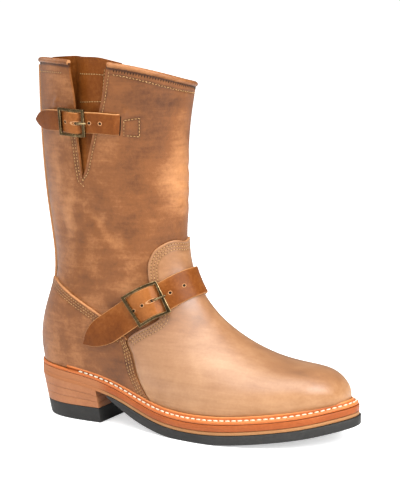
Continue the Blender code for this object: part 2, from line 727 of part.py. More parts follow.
class Strip:
    """Strap laid on the upper: place along from its buckle, place across, height off the surface."""

    def __init__(self, path, buckle_at, reach):
        knots = np.arange(len(path))
        row = cubic(knots, [p[0] for p in path])
        around = cubic(knots, [p[1] for p in path])
        fine = np.linspace(0, len(path) - 1, STRIP_ALONG + 1)
        line = upper_base(row(fine), around(fine))
        length = np.concatenate([[0], np.cumsum(np.linalg.norm(np.diff(line, axis=0), axis=1))])
        middle = np.interp(buckle_at, fine, length)
        self.start = -middle
        self.end = length[-1] - middle
        self.along = np.linspace(self.start, self.end, STRIP_ALONG + 1)
        at = np.interp(self.along + middle, length, fine)
        self.across = np.linspace(-reach, reach, 2 * STRIP_ACROSS + 1)
        self.rows = np.zeros((len(self.along), len(self.across)))
        self.arounds = np.zeros_like(self.rows)
        u0, v0 = row(at), around(at)
        line = upper_base(u0, v0)
        heading = np.gradient(line, axis=0)
        heading /= np.linalg.norm(heading, axis=1)[:, None]
        sideways = np.cross(upper_normal(u0, v0), heading)
        step = self.across[1] - self.across[0]
        for sign in (1, -1):
            u, v, side = u0.copy(), v0.copy(), sideways * sign
            self.rows[:, STRIP_ACROSS] = u
            self.arounds[:, STRIP_ACROSS] = v
            for k in range(1, STRIP_ACROSS + 1):
                by_u = (upper_base(u + 0.01, v) - upper_base(u - 0.01, v)) / 0.02
                by_v = (upper_base(u, v + 0.002) - upper_base(u, v - 0.002)) / 0.004
                uu, vv, uv = (by_u ** 2).sum(1), (by_v ** 2).sum(1), (by_u * by_v).sum(1)
                us, vs = (by_u * side).sum(1), (by_v * side).sum(1)
                spread = uu * vv - uv ** 2
                u = u + step * (us * vv - vs * uv) / spread
                v = v + step * (vs * uu - us * uv) / spread
                normal = upper_normal(u, v)
                side = side - (side * normal).sum(1)[:, None] * normal
                side /= np.linalg.norm(side, axis=1)[:, None]
                self.rows[:, STRIP_ACROSS + sign * k] = u
                self.arounds[:, STRIP_ACROSS + sign * k] = v

    def place(self, along, across):
        along, across = np.broadcast_arrays(np.asarray(along, float), np.asarray(across, float))
        last = np.array(self.rows.shape) - 1.001
        a = np.clip((along - self.along[0]) / (self.along[1] - self.along[0]), 0, last[0])
        b = np.clip((across - self.across[0]) / (self.across[1] - self.across[0]), 0, last[1])
        i, j = a.astype(int), b.astype(int)
        p, q = a - i, b - j

        def blend(grid):
            near = grid[i, j] * (1 - p) + grid[i + 1, j] * p
            far = grid[i, j + 1] * (1 - p) + grid[i + 1, j + 1] * p
            return near * (1 - q) + far * q

        return blend(self.rows), blend(self.arounds)

    def point(self, along, across, height):
        u, v = self.place(along, across)
        return upper_point(u, v, np.broadcast_to(np.asarray(height, float), u.shape))


def strap_heights(strip, base, half_frame, tip_lift):
    """Underside of a strap along its length: over the chape from the tip, over the bar, then level."""
    chape = base + CHAPE_THICK + FIT_GAP
    over = base + BAR_LIFT
    rows = ((strip.start, base + tip_lift), (strip.start + TIP_FALL, chape), (-half_frame, chape),
            (-BAR_SIDE, over), (0.0, over + BAR_CROWN), (BAR_SIDE, over), (half_frame, base),
            (strip.end, base))
    return monotone([row[0] for row in rows], [row[1] for row in rows])


def strap(name, strip, half, underside, tip, steps, material):
    """Strap with a pointed arch at its free end."""
    along = np.linspace(strip.start, strip.end, steps + 1)
    along = np.sort(np.append(along, strip.start + tip * np.array(TIP_STATIONS)))
    arc = (tip ** 2 + half ** 2) / (2 * half)
    ahead = np.clip(strip.start + tip - along, 0, tip)
    width = np.maximum(np.sqrt(arc ** 2 - ahead ** 2) - arc + half, TIP_BLUNT * half)
    across = np.linspace(-1, 1, STRAP_ACROSS + 1)
    u, v = strip.place(along[:, None], width[:, None] * across[None, :])
    low = np.repeat(underside(along)[:, None], len(across), 1)
    return wrap(name, [(u, v, low, low + STRAP_THICK)], material)


def tube(bm, strip, line, upright, thick, tall, closed, sides=6):
    """Bar through points in the space of a strap, square to the upright direction."""
    line = np.asarray(line, float)
    upright = np.asarray(upright, float)
    if closed:
        heading = np.roll(line, -1, 0) - np.roll(line, 1, 0)
    else:
        heading = np.gradient(line, axis=0)
    heading /= np.linalg.norm(heading, axis=1)[:, None]
    rings = []
    for point, ahead in zip(line, heading):
        side = np.cross(upright, ahead)
        side /= np.linalg.norm(side)
        over = np.cross(ahead, side)
        turn = (np.arange(sides) + 0.5) * 2 * math.pi / sides
        ring = point + np.outer(np.cos(turn) * thick, side) + np.outer(np.sin(turn) * tall, over)
        rings.append(strip.point(ring[:, 0], ring[:, 1], ring[:, 2]))
    return sweep(bm, rings, closed)


def rounded_frame(half_long, half_wide, radius, corner=4):
    line = []
    for k, (a, b) in enumerate(((1, 1), (-1, 1), (-1, -1), (1, -1))):
        for turn in np.linspace(0, math.pi / 2, corner + 1) + k * math.pi / 2:
            line.append((a * (half_long - radius) + radius * math.cos(turn),
                         b * (half_wide - radius) + radius * math.sin(turn)))
        line.append((line[-1][0] if k % 2 else 0.0, 0.0 if k % 2 else line[-1][1]))
    return np.array(line)


def frame_height(along, base, half_frame):
    """Middle of the frame's bars over the surface; the end over the chape stands higher."""
    front = base + STRAP_THICK + FIT_GAP + FRAME_TALL
    back = front + CHAPE_THICK + FIT_GAP
    return (front + back) / 2 - (back - front) / 2 * along / half_frame


def buckle(name, strip, base, half, half_frame, material):
    """Closed frame around the strap with a stepped bar across its middle, under the strap."""
    half_wide = half + 0.5 + FRAME_THICK
    flat = rounded_frame(half_frame, half_wide, FRAME_CORNER)
    line = np.column_stack([flat, frame_height(flat[:, 0], base, half_frame)])
    obj = add_mesh(name, tube(bmesh.new(), strip, line, (0, 0, 1), FRAME_THICK, FRAME_TALL, True), material)
    side = frame_height(0.0, base, half_frame)
    low = base + BAR_LIFT - FIT_GAP - BAR_RADIUS
    steps = ((-half_wide, side), (-half_wide, low), (0, low), (half_wide, low), (half_wide, side))
    bar = tube(bmesh.new(), strip, [(0, *step) for step in steps], (1, 0, 0), BAR_RADIUS, BAR_RADIUS, False)
    cutter = add_mesh(name + "_bar", bar, material)
    cutter.hide_render = True
    cutter.display_type = "WIRE"
    join = obj.modifiers.new("bar", "BOOLEAN")
    join.operation = "UNION"
    join.solver = "EXACT"
    join.object = cutter
    return obj


def prong(name, strip, base, half_frame, material):
    """Tongue of a buckle from the centre bar up through the strap to rest on the front bar."""
    rest = frame_height(half_frame, base, half_frame) + FRAME_TALL + FIT_GAP + PRONG_RADIUS
    low = base + PRONG_LOW
    line = [(PRONG_START + along, 0, low + (rest - low) * rise) for along, rise in PRONG]
    line += [(half_frame, 0, rest), (half_frame + PRONG_REACH, 0, rest - PRONG_DROP)]
    pin = tube(bmesh.new(), strip, line, (0, 1, 0), PRONG_RADIUS, PRONG_RADIUS, False)
    return add_mesh(name, pin, material)


def cut_prong_hole(obj, strip):
    """Slot through the strap where the prong comes up."""
    flat = rounded_frame((PRONG_SLOT[1] - PRONG_SLOT[0]) / 2, PRONG_RADIUS + 0.8, PRONG_RADIUS + 0.6, 2)
    flat[:, 0] += (PRONG_SLOT[0] + PRONG_SLOT[1]) / 2
    rings = [strip.point(flat[:, 0], flat[:, 1], height) for height in (-1.0, 16.0)]
    cutter = add_mesh(obj.name + "_slot", sweep(bmesh.new(), rings, False), "leather")
    cutter.hide_render = True
    cutter.display_type = "WIRE"
    cut = obj.modifiers.new("prong slot", "BOOLEAN")
    cut.operation = "DIFFERENCE"
    cut.solver = "EXACT"
    cut.object = cutter


def upper_rows():
    """Rows of the upper's sections, closer together over the instep and round the heel."""
    spans = ((0.8, VAMP_SHARED, 7), (VAMP_SHARED, HEEL_ROW, 13), (HEEL_ROW, COUNTER_BACK, 7),
             (COUNTER_BACK, SLIT_TIP, 3), (SLIT_TIP, COLLAR_ROW, 4))
    rows = [np.linspace(start, end, steps + 1)[:-1] for start, end, steps in spans]
    return np.concatenate([[0.0, 0.35], *rows, [COLLAR_ROW]])


def upper_places():
    """Places around below the slit, on either side of it."""
    at = slit_back(SLIT_TIP)
    return at * np.linspace(0, 1, 6), at + (1 - at) * np.linspace(0, 1, 18)


def build_upper():
    rows = upper_rows()
    back_places, front_places = upper_places()
    at = back_places[-1]
    open_rows = np.maximum(rows, SLIT_TIP)
    back = slit_back(open_rows)[:, None] * back_places / at
    front_edge = slit_front(open_rows)[:, None]
    front = front_edge + (1 - front_edge) * (front_places - at) / (1 - at)
    wrap("upper", [patch(rows, back, -WALL, 0.0), patch(rows, front, -WALL, 0.0)], "leather")


def lift_edge(u, v):
    """Keep the lower edge of an overlay just clear of the welt, ahead of the heel."""
    toe = 1 + TOE_LIFT * np.clip(1 - u / 2, 0, 1)
    low = EDGE_LIFT * toe * np.clip((HEEL_ROW - HEEL_TURN - u) * 2, 0, 1)
    return np.clip(v, low, 1 - low)


def build_vamp():
    """Front overlay: it shares the upper's sections over the toe, then runs on to its own rear edge."""
    back_places, front_places = upper_places()
    extra = [edge[0] for edge in VAMP_EDGE if edge[0] in VAMP_CORNERS]
    around = np.unique(np.round(np.concatenate([back_places, front_places, extra]), 5))
    rows = upper_rows()
    shared = rows[rows <= VAMP_SHARED + 1e-6]
    share = np.linspace(0, 1, 9)[1:]
    end = vamp_end(around)[None, :]
    u = np.concatenate([np.repeat(shared[:, None], len(around), 1),
                        VAMP_SHARED + share[:, None] * (end - VAMP_SHARED)])
    v = lift_edge(u, np.repeat(around[None, :], len(u), 0))
    wrap("vamp", [(u, v, OVERLAY_GAP, OVERLAY_GAP + OVERLAY)], "leather")


def counter_edge(side, places):
    """Rows and heights of the counter's edge on one side, up its seam and along its top, then the seam."""
    wing = COUNTER_WINGS[side]
    seam_height = np.append(places[places < wing[1] - 0.01], wing[1])
    seam = vamp_end(1 - seam_height if side == "inner" else seam_height) + SEAM_STEP
    rows = np.append(seam, column(COUNTER_TOP, COUNTER_COLUMNS, "row"))
    return rows, np.append(seam_height, column(COUNTER_TOP, COUNTER_COLUMNS, "around")), seam


def build_counter():
    """Heel overlay: its front edge follows the vamp's, its top edge falls from the back of the shaft."""
    patches = []
    back_places, front_places = upper_places()
    for side, places in (("outer", back_places), ("inner", (1 - front_places[::-1])[:COUNTER_PLACES])):
        edge_rows, edge_height, seam = counter_edge(side, places)
        rows = upper_rows()
        rows = rows[(rows > seam[-1] + 0.1) & (rows < COUNTER_BACK - 0.01)]
        back = COUNTER_BACK - COUNTER_TURN * (1 - np.linspace(0, 1, COUNTER_TURN_STEPS)) ** 2
        rows = np.unique(np.round(np.concatenate([seam, rows, back]), 5))
        height = np.interp(rows, edge_rows, edge_height)
        v = np.minimum(places[None, :], height[:, None])
        u = np.repeat(rows[:, None], len(places), 1)
        v = lift_edge(u, 1 - v if side == "inner" else v)
        patches.append((u, v, COUNTER_GAP, OVERLAY_GAP + OVERLAY + COUNTER_EXTRA))
    wrap("counter", patches, "leather")


def build_back_seam():
    rows = upper_rows()
    rows = rows[(rows > BACK_SEAM_START + 0.1) & (rows < COLLAR_ROW - 0.1)]
    rows = np.concatenate([[BACK_SEAM_START], rows, [COLLAR_ROW - 0.05]])
    around = seam_place(rows)[:, None] + np.array([-1, 0, 1]) * BACK_SEAM_HALF / COLLAR_ROUND
    high = BACK_SEAM_LOW + np.array(BACK_SEAM_TALL)
    wrap("back_seam", [patch(rows, around, BACK_SEAM_LOW, high)], "leather")


def build_gusset():
    """Panel behind the slit, close to the front edge and deep behind the back edge."""
    rows = np.linspace(SLIT_TIP - GUSSET_BELOW, COLLAR_ROW, GUSSET_STEPS + 1)
    share = np.linspace(0, 1, GUSSET_STEPS + 1)
    inside = np.maximum(rows, SLIT_TIP)
    start = slit_back(inside) - GUSSET_LAP
    end = slit_front(inside) + GUSSET_LAP
    around = start[:, None] + (end - start)[:, None] * share
    opened = np.clip((rows - SLIT_TIP) / (COLLAR_ROW - SLIT_TIP), 0, 1)[:, None] ** 0.7
    depth = WALL + GUSSET_CLEAR + GUSSET_FOLD * opened * np.sin(math.pi * share) * (1 - share)
    wrap("gusset", [patch(rows, around, -depth - GUSSET_THICK, -depth)], "leather")


def build_binding():
    """Rolled edge on the rim of the collar, from the front of the slit round to its back."""
    start = slit_front(COLLAR_ROW) + BINDING_END
    end = 1 + slit_back(COLLAR_ROW) - BINDING_END
    at = np.linspace(start, end, BINDING_STEPS + 1)
    v = np.where(at > 1, at - 1, at)
    row = np.full(len(v), float(COLLAR_ROW))
    rim = upper_point(row, v, np.full(len(v), -WALL / 2))
    rise = upper_base(row, v) - upper_base(row - 0.05, v)
    rise /= np.linalg.norm(rise, axis=1)[:, None]
    out = upper_normal(row, v)
    turn = np.arange(BINDING_SIDES) * 2 * math.pi / BINDING_SIDES
    rings = []
    for i in range(len(v)):
        middle = rim[i] + rise[i] * (FIT_GAP + BINDING_TALL)
        tall = BINDING_TALL / math.cos(math.pi / BINDING_SIDES)
        sideways = np.outer(np.cos(turn) * BINDING_WIDE, out[i])
        rings.append(middle + sideways + np.outer(np.sin(turn) * tall, rise[i]))
    add_mesh("collar_binding", sweep(bmesh.new(), rings, False), "leather")


def build_straps():
    for name, path, buckle_at, half, half_frame, base, tip, tip_lift, chape_end, steps in STRAPS:
        strip = Strip(path, buckle_at, half + STRIP_MARGIN)
        underside = strap_heights(strip, base, half_frame, tip_lift)
        piece = strap(name + "_strap", strip, half, underside, tip, steps, "strap")
        cut_prong_hole(piece, strip)
        along = np.linspace(chape_end, -BAR_RADIUS - CHAPE_CLEAR, CHAPE_STEPS + 1)
        across = np.linspace(-1, 1, STRAP_ACROSS + 1) * (half - CHAPE_INSET)
        u, v = strip.place(along[:, None], across[None, :])
        wrap(name + "_chape", [(u, v, base, base + CHAPE_THICK)], "strap")
        buckle(name + "_buckle", strip, base, half, half_frame, "brass")
        prong(name + "_prong", strip, base, half_frame, "brass")


def half_sole_depth(x):
    """Thickness of the rubber, skived at the waist."""
    share = np.clip((x - HALF_SOLE_START * GRADE_X) / (HALF_SOLE_SKIVE * GRADE_X), 0, 1)
    return SKIVED_THICK + (HALF_SOLE_THICK - SKIVED_THICK) * share * (2 - share)


def half_sole_top(x):
    return sole_line(x) - FIT_GAP


def half_sole_tread(x):
    """Underside of the rubber; it is flat where the boot stands on its forefoot."""
    return np.maximum(half_sole_top(x) - half_sole_depth(x), 0.0)


def runner_reveal(x):
    return reveal(x) - RUNNER_INSET


def insole_reveal(x):
    return np.full_like(x, -WALL - INSOLE_INSET)


def insole_seat(x):
    return midsole_top(x) + FIT_GAP


def insole_top(x):
    return insole_seat(x) + INSOLE_THICK


def midsole_seat(x):
    return runner_top(x) + FIT_GAP


def build_sole():
    sole_layer("half_sole", reveal, half_sole_tread, half_sole_top, "rubber", start=HALF_SOLE_START)
    sole_layer("runner", runner_reveal, sole_line, runner_top, "sole_leather")
    sole_layer("midsole", reveal, midsole_seat, midsole_top, "sole_leather")
    sole_layer("insole", insole_reveal, insole_seat, insole_top, "insole")
    edge_strip("welt", WELT_START, WELT_THICK, WELT_PROFILE, WELT_STEPS, "sole_leather")
    edge_strip("rand", WELT_START, RAND_THICK, RAND_PROFILE, RAND_STEPS, "sole_leather", behind=True)


def build_heel():
    """Stack of leather lifts that follow the slope of the seat, over a level rubber cap."""
    shares = np.linspace(0, 1, HEEL_LIFTS + 1)
    for k in range(HEEL_LIFTS):
        gap = FIT_GAP if k < HEEL_LIFTS - 1 else 0.0
        low = heel_rim((1 - shares[k]) * HEEL_STACK_DROP, shares[k], 0.0)
        high = heel_rim((1 - shares[k + 1]) * HEEL_STACK_DROP, shares[k + 1], gap)
        layer("heel_lift_%d" % (k + 1), low, high, "sole_leather")
    layer("heel_cap", cap_rim(1.0, 0.0), cap_rim(HEEL_STACK_DROP, CAP_THICK), "rubber")


for old in list(bpy.data.objects):
    bpy.data.objects.remove(old, do_unlink=True)

MATERIALS = {}
for key, colour, roughness, metallic in MATERIAL_TABLE:
    material = bpy.data.materials.new(key)
    material.use_nodes = True
    shader = material.node_tree.nodes["Principled BSDF"]
    shader.inputs["Base Color"].default_value = (*colour, 1.0)
    shader.inputs["Roughness"].default_value = roughness
    shader.inputs["Metallic"].default_value = metallic
    MATERIALS[key] = material

boot = bpy.data.objects.new("boot", None)
boot.location = (-MIDDLE_X * MM, -MIDDLE_Y * MM, 0.0)
bpy.context.scene.collection.objects.link(boot)

build_sole()
build_heel()
build_upper()
build_vamp()
build_counter()
build_back_seam()
build_gusset()
build_binding()
build_straps()
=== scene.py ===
import math

import bpy
import numpy as np
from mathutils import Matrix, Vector, kdtree


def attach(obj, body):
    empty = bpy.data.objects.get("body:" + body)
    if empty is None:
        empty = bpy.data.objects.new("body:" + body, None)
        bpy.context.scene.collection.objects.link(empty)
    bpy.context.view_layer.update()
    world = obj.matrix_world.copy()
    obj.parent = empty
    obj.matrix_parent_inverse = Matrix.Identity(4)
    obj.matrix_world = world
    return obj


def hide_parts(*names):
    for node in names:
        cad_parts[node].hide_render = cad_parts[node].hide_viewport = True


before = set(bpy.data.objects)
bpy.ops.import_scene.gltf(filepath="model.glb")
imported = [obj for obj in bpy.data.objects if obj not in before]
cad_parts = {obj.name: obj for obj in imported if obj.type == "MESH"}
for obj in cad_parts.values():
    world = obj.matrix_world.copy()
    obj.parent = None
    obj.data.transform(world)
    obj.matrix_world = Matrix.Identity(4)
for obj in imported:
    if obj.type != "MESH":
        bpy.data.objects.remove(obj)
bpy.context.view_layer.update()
print("frame loaded:", len(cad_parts), "nodes")

# Shape of the boot in millimetres: heel back at x = 0, toe at x = 300, outer side at -y.
bootShape = {
    "middle": (150.0, -3.61, 0.0),  # taken off, so that the origin is under the middle of the boot
    "soleLine": ((0, 37.2), (35, 34.5), (70, 29.7), (95, 23.3), (120, 15.1), (142, 9.7), (160, 7.9), (184, 7.8),
                 (205, 9.0), (228, 11.4), (252, 14.4), (277, 18.4), (300, 23.2)),  # along, height
    "feather": ((13, 19.3, 18.8), (34, 29.0, 28.5), (64, 30.5, 29.0), (95, 31.0, 26.0), (125, 35.0, 26.0),
                (158, 40.3, 32.0), (190, 42.7, 40.5), (218, 39.4, 44.5), (244, 31.2, 43.5), (266, 18.4, 38.5),
                (282, 2.0, 29.5)),  # along, outer and inner half width
    "heelBack": (4.5, 0.0),
    "toeTip": (290.5, 13.0),
    "reveal": ((4, 4.5), (60, 5.0), (110, 6.5), (170, 9.0), (230, 9.5), (291, 9.5)),  # sole beyond the foot print
    "gap": 0.3,
    "runner": 3.0,
    "midsole": 5.6,
    "welt": 3.4,
    "levelEdge": 5.0,
    "heelTurn": 0.6,
    "frontLift": 3.0,  # the front panel stands up at the slit
    "liftStart": 20.0,
    "liftRamps": ((0.215, 0.285), (0.500, 0.320)),
    "ridge": (16.6, 18.2, 1.0, 0.03),  # under the back seam: first and full row, height, width
    "shaftRound": 340.0,
    "seamRows": (19.85, 22.5, 24.0),
    "seamPlaces": (0.0456, 0.0447, 0.0426),
}

# Rows of the upper: share along the print, top x and z, half width out and in, centre, widest, shoulder.
footRows = (
    (0.000, 290.5, 34.6, 0.3, 0.3, 13.0, 0.35, 0.00),
    (0.045, 288.8, 44.5, 16.5, 15.5, 12.5, 0.35, 0.00),
    (0.100, 282.0, 53.5, 29.0, 26.5, 11.5, 0.33, -0.05),
    (0.165, 270.0, 59.8, 39.0, 34.5, 10.0, 0.30, -0.07),
    (0.235, 251.5, 62.6, 45.5, 40.0, 8.0, 0.28, -0.05),
    (0.310, 230.5, 66.5, 49.0, 42.5, 6.0, 0.26, 0.01),
    (0.390, 209.0, 74.3, 49.5, 42.0, 4.5, 0.25, 0.07),
    (0.470, 189.0, 85.4, 48.0, 39.0, 3.5, 0.25, 0.12),
    (0.550, 171.6, 99.2, 44.5, 35.5, 2.5, 0.26, 0.14),
    (0.630, 157.8, 115.5, 41.0, 33.5, 2.0, 0.29, 0.13),
    (0.710, 148.5, 133.0, 39.0, 33.5, 1.5, 0.34, 0.10),
    (0.790, 143.8, 150.0, 38.5, 35.0, 1.0, 0.40, 0.07),
    (0.870, 142.6, 165.0, 38.5, 37.0, 0.5, 0.45, 0.04),
    (0.940, 142.9, 177.5, 39.5, 38.5, 0.0, 0.48, 0.02),
)

# Rows of the shaft: back x and z, top x and z, half width out and in, centre, widest, shoulder, roll.
shaftRows = (
    (4.5, 50.0, 143.5, 188.0, 40.5, 39.5, 0.0, 0.50, 0.01, 0.000),
    (3.0, 66.5, 144.0, 198.0, 41.0, 40.5, 0.0, 0.50, 0.00, 0.000),
    (6.7, 89.0, 144.1, 208.0, 41.5, 41.0, 0.0, 0.50, 0.00, 0.000),
    (14.4, 113.7, 143.9, 218.0, 42.0, 41.5, 0.0, 0.50, 0.00, 0.005),
    (17.6, 139.2, 143.5, 227.8, 43.0, 42.0, 0.0, 0.50, 0.00, 0.010),
    (15.1, 166.8, 143.4, 238.3, 44.5, 43.5, -0.5, 0.50, 0.00, 0.015),
    (11.2, 197.3, 143.7, 249.5, 46.5, 45.0, -1.0, 0.50, 0.00, 0.025),
    (8.6, 229.9, 144.6, 261.5, 49.0, 47.0, -1.5, 0.50, 0.00, 0.043),
    (7.3, 261.3, 146.2, 274.0, 51.5, 49.0, -2.0, 0.50, 0.00, 0.070),
    (6.9, 288.8, 148.0, 285.6, 53.5, 51.0, -2.5, 0.50, 0.00, 0.108),
    (6.9, 311.8, 149.9, 297.0, 55.0, 52.5, -3.0, 0.50, 0.00, 0.150),
)
heelRow = len(footRows)
collarRow = heelRow + len(shaftRows) - 1


def cubicCurve(knots, values):
    knots = np.asarray(knots, float)
    values = np.asarray(values, float)
    count = len(knots)
    step = np.diff(knots)
    system = np.eye(count)
    right = np.zeros_like(values)
    for i in range(1, count - 1):
        system[i, i - 1:i + 2] = step[i - 1], 2 * (step[i - 1] + step[i]), step[i]
        right[i] = 6 * ((values[i + 1] - values[i]) / step[i] - (values[i] - values[i - 1]) / step[i - 1])
    bend = np.linalg.solve(system, right)

    def at(t):
        t = np.asarray(t, float)
        i = np.clip(np.searchsorted(knots, t) - 1, 0, count - 2)
        h = step[i]
        a = (knots[i + 1] - t) / h
        c = (t - knots[i]) / h
        if values.ndim > 1:
            a, c, h = a[..., None], c[..., None], h[..., None]
        return (a * values[i] + c * values[i + 1]
                + ((a ** 3 - a) * bend[i] + (c ** 3 - c) * bend[i + 1]) * h ** 2 / 6)

    return at


def steadyCurve(rows):  # through the rows without swinging past them
    knots = np.array([row[0] for row in rows], float)
    values = np.array([row[1] for row in rows], float)
    step = np.diff(knots)
    rise = np.diff(values) / step
    slope = np.zeros(len(knots))
    slope[0], slope[-1] = rise[0], rise[-1]
    for i in range(1, len(knots) - 1):
        if rise[i - 1] * rise[i] > 0:
            slope[i] = 2 * rise[i - 1] * rise[i] / (rise[i - 1] + rise[i])

    def at(t):
        t = np.clip(np.asarray(t, float), knots[0], knots[-1])
        i = np.clip(np.searchsorted(knots, t) - 1, 0, len(step) - 1)
        h = step[i]
        x = (t - knots[i]) / h
        return (values[i] * (1 + 2 * x) * (1 - x) ** 2 + slope[i] * h * x * (1 - x) ** 2
                + values[i + 1] * x ** 2 * (3 - 2 * x) + slope[i + 1] * h * x ** 2 * (x - 1))

    return at


def softStep(x):
    x = np.clip(x, 0, 1)
    return x * x * (3 - 2 * x)


def lengthAlong(line):
    return np.concatenate([[0], np.cumsum(np.linalg.norm(np.diff(line, axis=0), axis=1))])


def unit(vectors):
    return vectors / np.linalg.norm(vectors, axis=-1)[..., None]


soleLine = cubicCurve(*zip(*bootShape["soleLine"]))
reveal = cubicCurve(*zip(*bootShape["reveal"]))


def runnerTop(x):
    return soleLine(x) + bootShape["runner"]


def midsoleTop(x):
    return runnerTop(x) + bootShape["gap"] + bootShape["midsole"]


def featherSeat(x):  # where the upper stands, just above the welt
    return midsoleTop(x) + 2 * bootShape["gap"] + bootShape["welt"]


def closedPrint():
    table = np.array(bootShape["feather"], float)
    outside = np.stack([table[:, 0], -table[:, 1]], 1)[::-1]
    inside = table[:, [0, 2]]
    loop = np.concatenate([[bootShape["toeTip"]], outside, [bootShape["heelBack"]], inside])
    lap = 5
    points = np.concatenate([loop[-lap:], loop, loop[:lap + 1]])
    chord = lengthAlong(points)
    chord -= chord[lap]
    return cubicCurve(chord, points), chord[lap + len(table) + 1], chord[lap + len(loop)]


footPrint, heelAt, printRound = closedPrint()


def printPoint(share, inner):
    return footPrint(np.where(inner, printRound - share * (printRound - heelAt), share * heelAt))


def makeSections():
    rows = np.arange(collarRow + 1)
    foot = np.array(footRows)
    shaft = np.array(shaftRows)
    names = ("topX", "topZ", "wideOut", "wideIn", "centre", "widest", "shoulder")
    curves = {}
    for i, name in enumerate(names):
        curves[name] = cubicCurve(rows, np.append(foot[:, i + 1], shaft[:, i + 2]))
    curves["feather"] = cubicCurve(rows[:heelRow + 1], np.append(foot[:, 0], 1.0))
    for i, name in ((0, "backX"), (1, "backZ"), (9, "roll")):
        curves[name] = cubicCurve(rows[heelRow:], shaft[:, i])
    return curves


section = makeSections()


def seamPlace(u):
    return np.interp(u, bootShape["seamRows"], bootShape["seamPlaces"])


def upperBase(u, v):  # row u; v from the outer edge, 0, over the top, 0.5, to the inner edge, 1
    u, v = np.broadcast_arrays(np.asarray(u, float), np.asarray(v, float))
    inner = v > 0.5
    rise = np.where(inner, 2 - 2 * v, 2 * v)
    foot = u < heelRow
    centre = section["centre"](u)
    share = np.clip(section["feather"](np.minimum(u, heelRow)), 0, 1)
    edge = printPoint(share, inner)
    shaftU = np.maximum(u, heelRow)
    heelDrop = featherSeat(bootShape["heelBack"][0]) - shaftRows[0][1]
    baseX = np.where(foot, edge[..., 0], section["backX"](shaftU))
    baseZ = np.where(foot, featherSeat(edge[..., 0]),
                     section["backZ"](shaftU) + heelDrop * np.exp(-2.0 * (shaftU - heelRow)))
    halfBase = np.where(foot, np.abs(edge[..., 1] - centre), 0.0)
    wide = np.where(inner, section["wideIn"](u), section["wideOut"](u))
    wide = np.maximum(wide, halfBase * 1.002 + 0.2)
    widest = section["widest"](u)
    shoulder = section["shoulder"](u)
    topX = section["topX"](u)
    topZ = section["topZ"](u)
    tall = np.hypot(topX - baseX, topZ - baseZ)
    under = np.arccos(np.clip(halfBase / wide, 0, 1))
    low = np.hypot(wide - halfBase, widest * tall)
    high = np.hypot(wide, (1 - widest) * tall)
    part = low / (low + high + 1e-9)
    lowAngle = -under * (1 - np.minimum(rise / part, 1))
    highAngle = np.clip((rise - part) / (1 - part), 0, 1) * math.pi / 2
    below = rise < part
    across = np.where(below, wide * np.cos(lowAngle),
                      wide * np.cos(highAngle) * (1 - shoulder * np.sin(highAngle) ** 2))
    climb = np.where(below, widest * (1 + np.sin(lowAngle) / np.maximum(np.sin(under), 1e-6)),
                     widest + (1 - widest) * np.sin(highAngle))
    y = np.where(inner, across, -across)
    roll = np.where(foot, 0.0, section["roll"](shaftU))
    start = bootShape["liftStart"]
    lift = bootShape["frontLift"] * np.clip((u - start) / (collarRow - start), 0, None) ** 2
    for first, last in bootShape["liftRamps"]:
        lift = lift * softStep((v - first) / (last - first))
    first, full, tallest, wide = bootShape["ridge"]
    ridge = tallest * np.exp(-((np.where(inner, v - 1, v) - seamPlace(u)) / wide) ** 2)
    ridge = ridge * softStep((u - first) / (full - first))
    return np.stack([baseX + (topX - baseX) * climb - ridge, centre + y,
                     baseZ + (topZ - baseZ) * climb - roll * y + lift], -1)


def upperNormal(u, v):
    u, v = np.broadcast_arrays(np.asarray(u, float), np.asarray(v, float))
    du, dv = 0.01, 0.002
    u0 = np.clip(u, 0.02, collarRow - du)
    v0 = np.where(v < 0.5, np.clip(v, 0, 0.5 - dv), np.clip(v, 0.5, 1 - dv))
    along = upperBase(u0 + du, v0) - upperBase(u0, v0)
    around = upperBase(u0, v0 + dv) - upperBase(u0, v0)
    normal = np.cross(around, along)
    return normal / np.maximum(np.linalg.norm(normal, axis=-1)[..., None], 1e-12)


def upperPoint(u, v, out=0.0):  # along the lower edge of the foot it moves level with the welt
    base = upperBase(u, v)
    normal = upperNormal(u, v)
    rise = np.clip((base[..., 2] - featherSeat(base[..., 0])) / bootShape["levelEdge"], 0, 1)
    free = np.maximum(rise, np.clip((np.asarray(u, float) - heelRow) / bootShape["heelTurn"] + 1, 0, 1))
    slope = soleLine(base[..., 0] + 0.5) - soleLine(base[..., 0] - 0.5)
    normal[..., 2] = free * normal[..., 2] + (1 - free) * slope * normal[..., 0]
    normal /= np.maximum(np.linalg.norm(normal, axis=-1)[..., None], 1e-9)
    return base + normal * np.asarray(out, float)[..., None]


def surfaceStep(u, v, move):  # change of row and place around that carries points by a vector
    byU = (upperBase(u + 0.01, v) - upperBase(u - 0.01, v)) / 0.02
    byV = (upperBase(u, v + 0.002) - upperBase(u, v - 0.002)) / 0.004
    uu, vv, uv = (byU ** 2).sum(1), (byV ** 2).sum(1), (byU * byV).sum(1)
    us, vs = (byU * move).sum(1), (byV * move).sum(1)
    area = np.maximum(uu * vv - uv ** 2, 1e-9)
    return (us * vv - vs * uv) / area, (vs * uu - us * uv) / area


def besideLine(u, v, distance, steps=3):  # line on the upper, moved to its left by a distance
    for k in range(steps):
        heading = unit(np.gradient(upperBase(u, v), axis=0))
        side = np.cross(upperNormal(u, v), heading) * np.broadcast_to(distance / steps, len(u))[:, None]
        moveU, moveV = surfaceStep(u, v, side)
        u, v = u + moveU, v + moveV
    return u, v


def toBoot(points):
    return (np.asarray(points, float) - bootShape["middle"]) * 0.001


def pickOnly(piece):
    bpy.ops.object.select_all(action="DESELECT")
    piece.select_set(True)
    bpy.context.view_layer.objects.active = piece


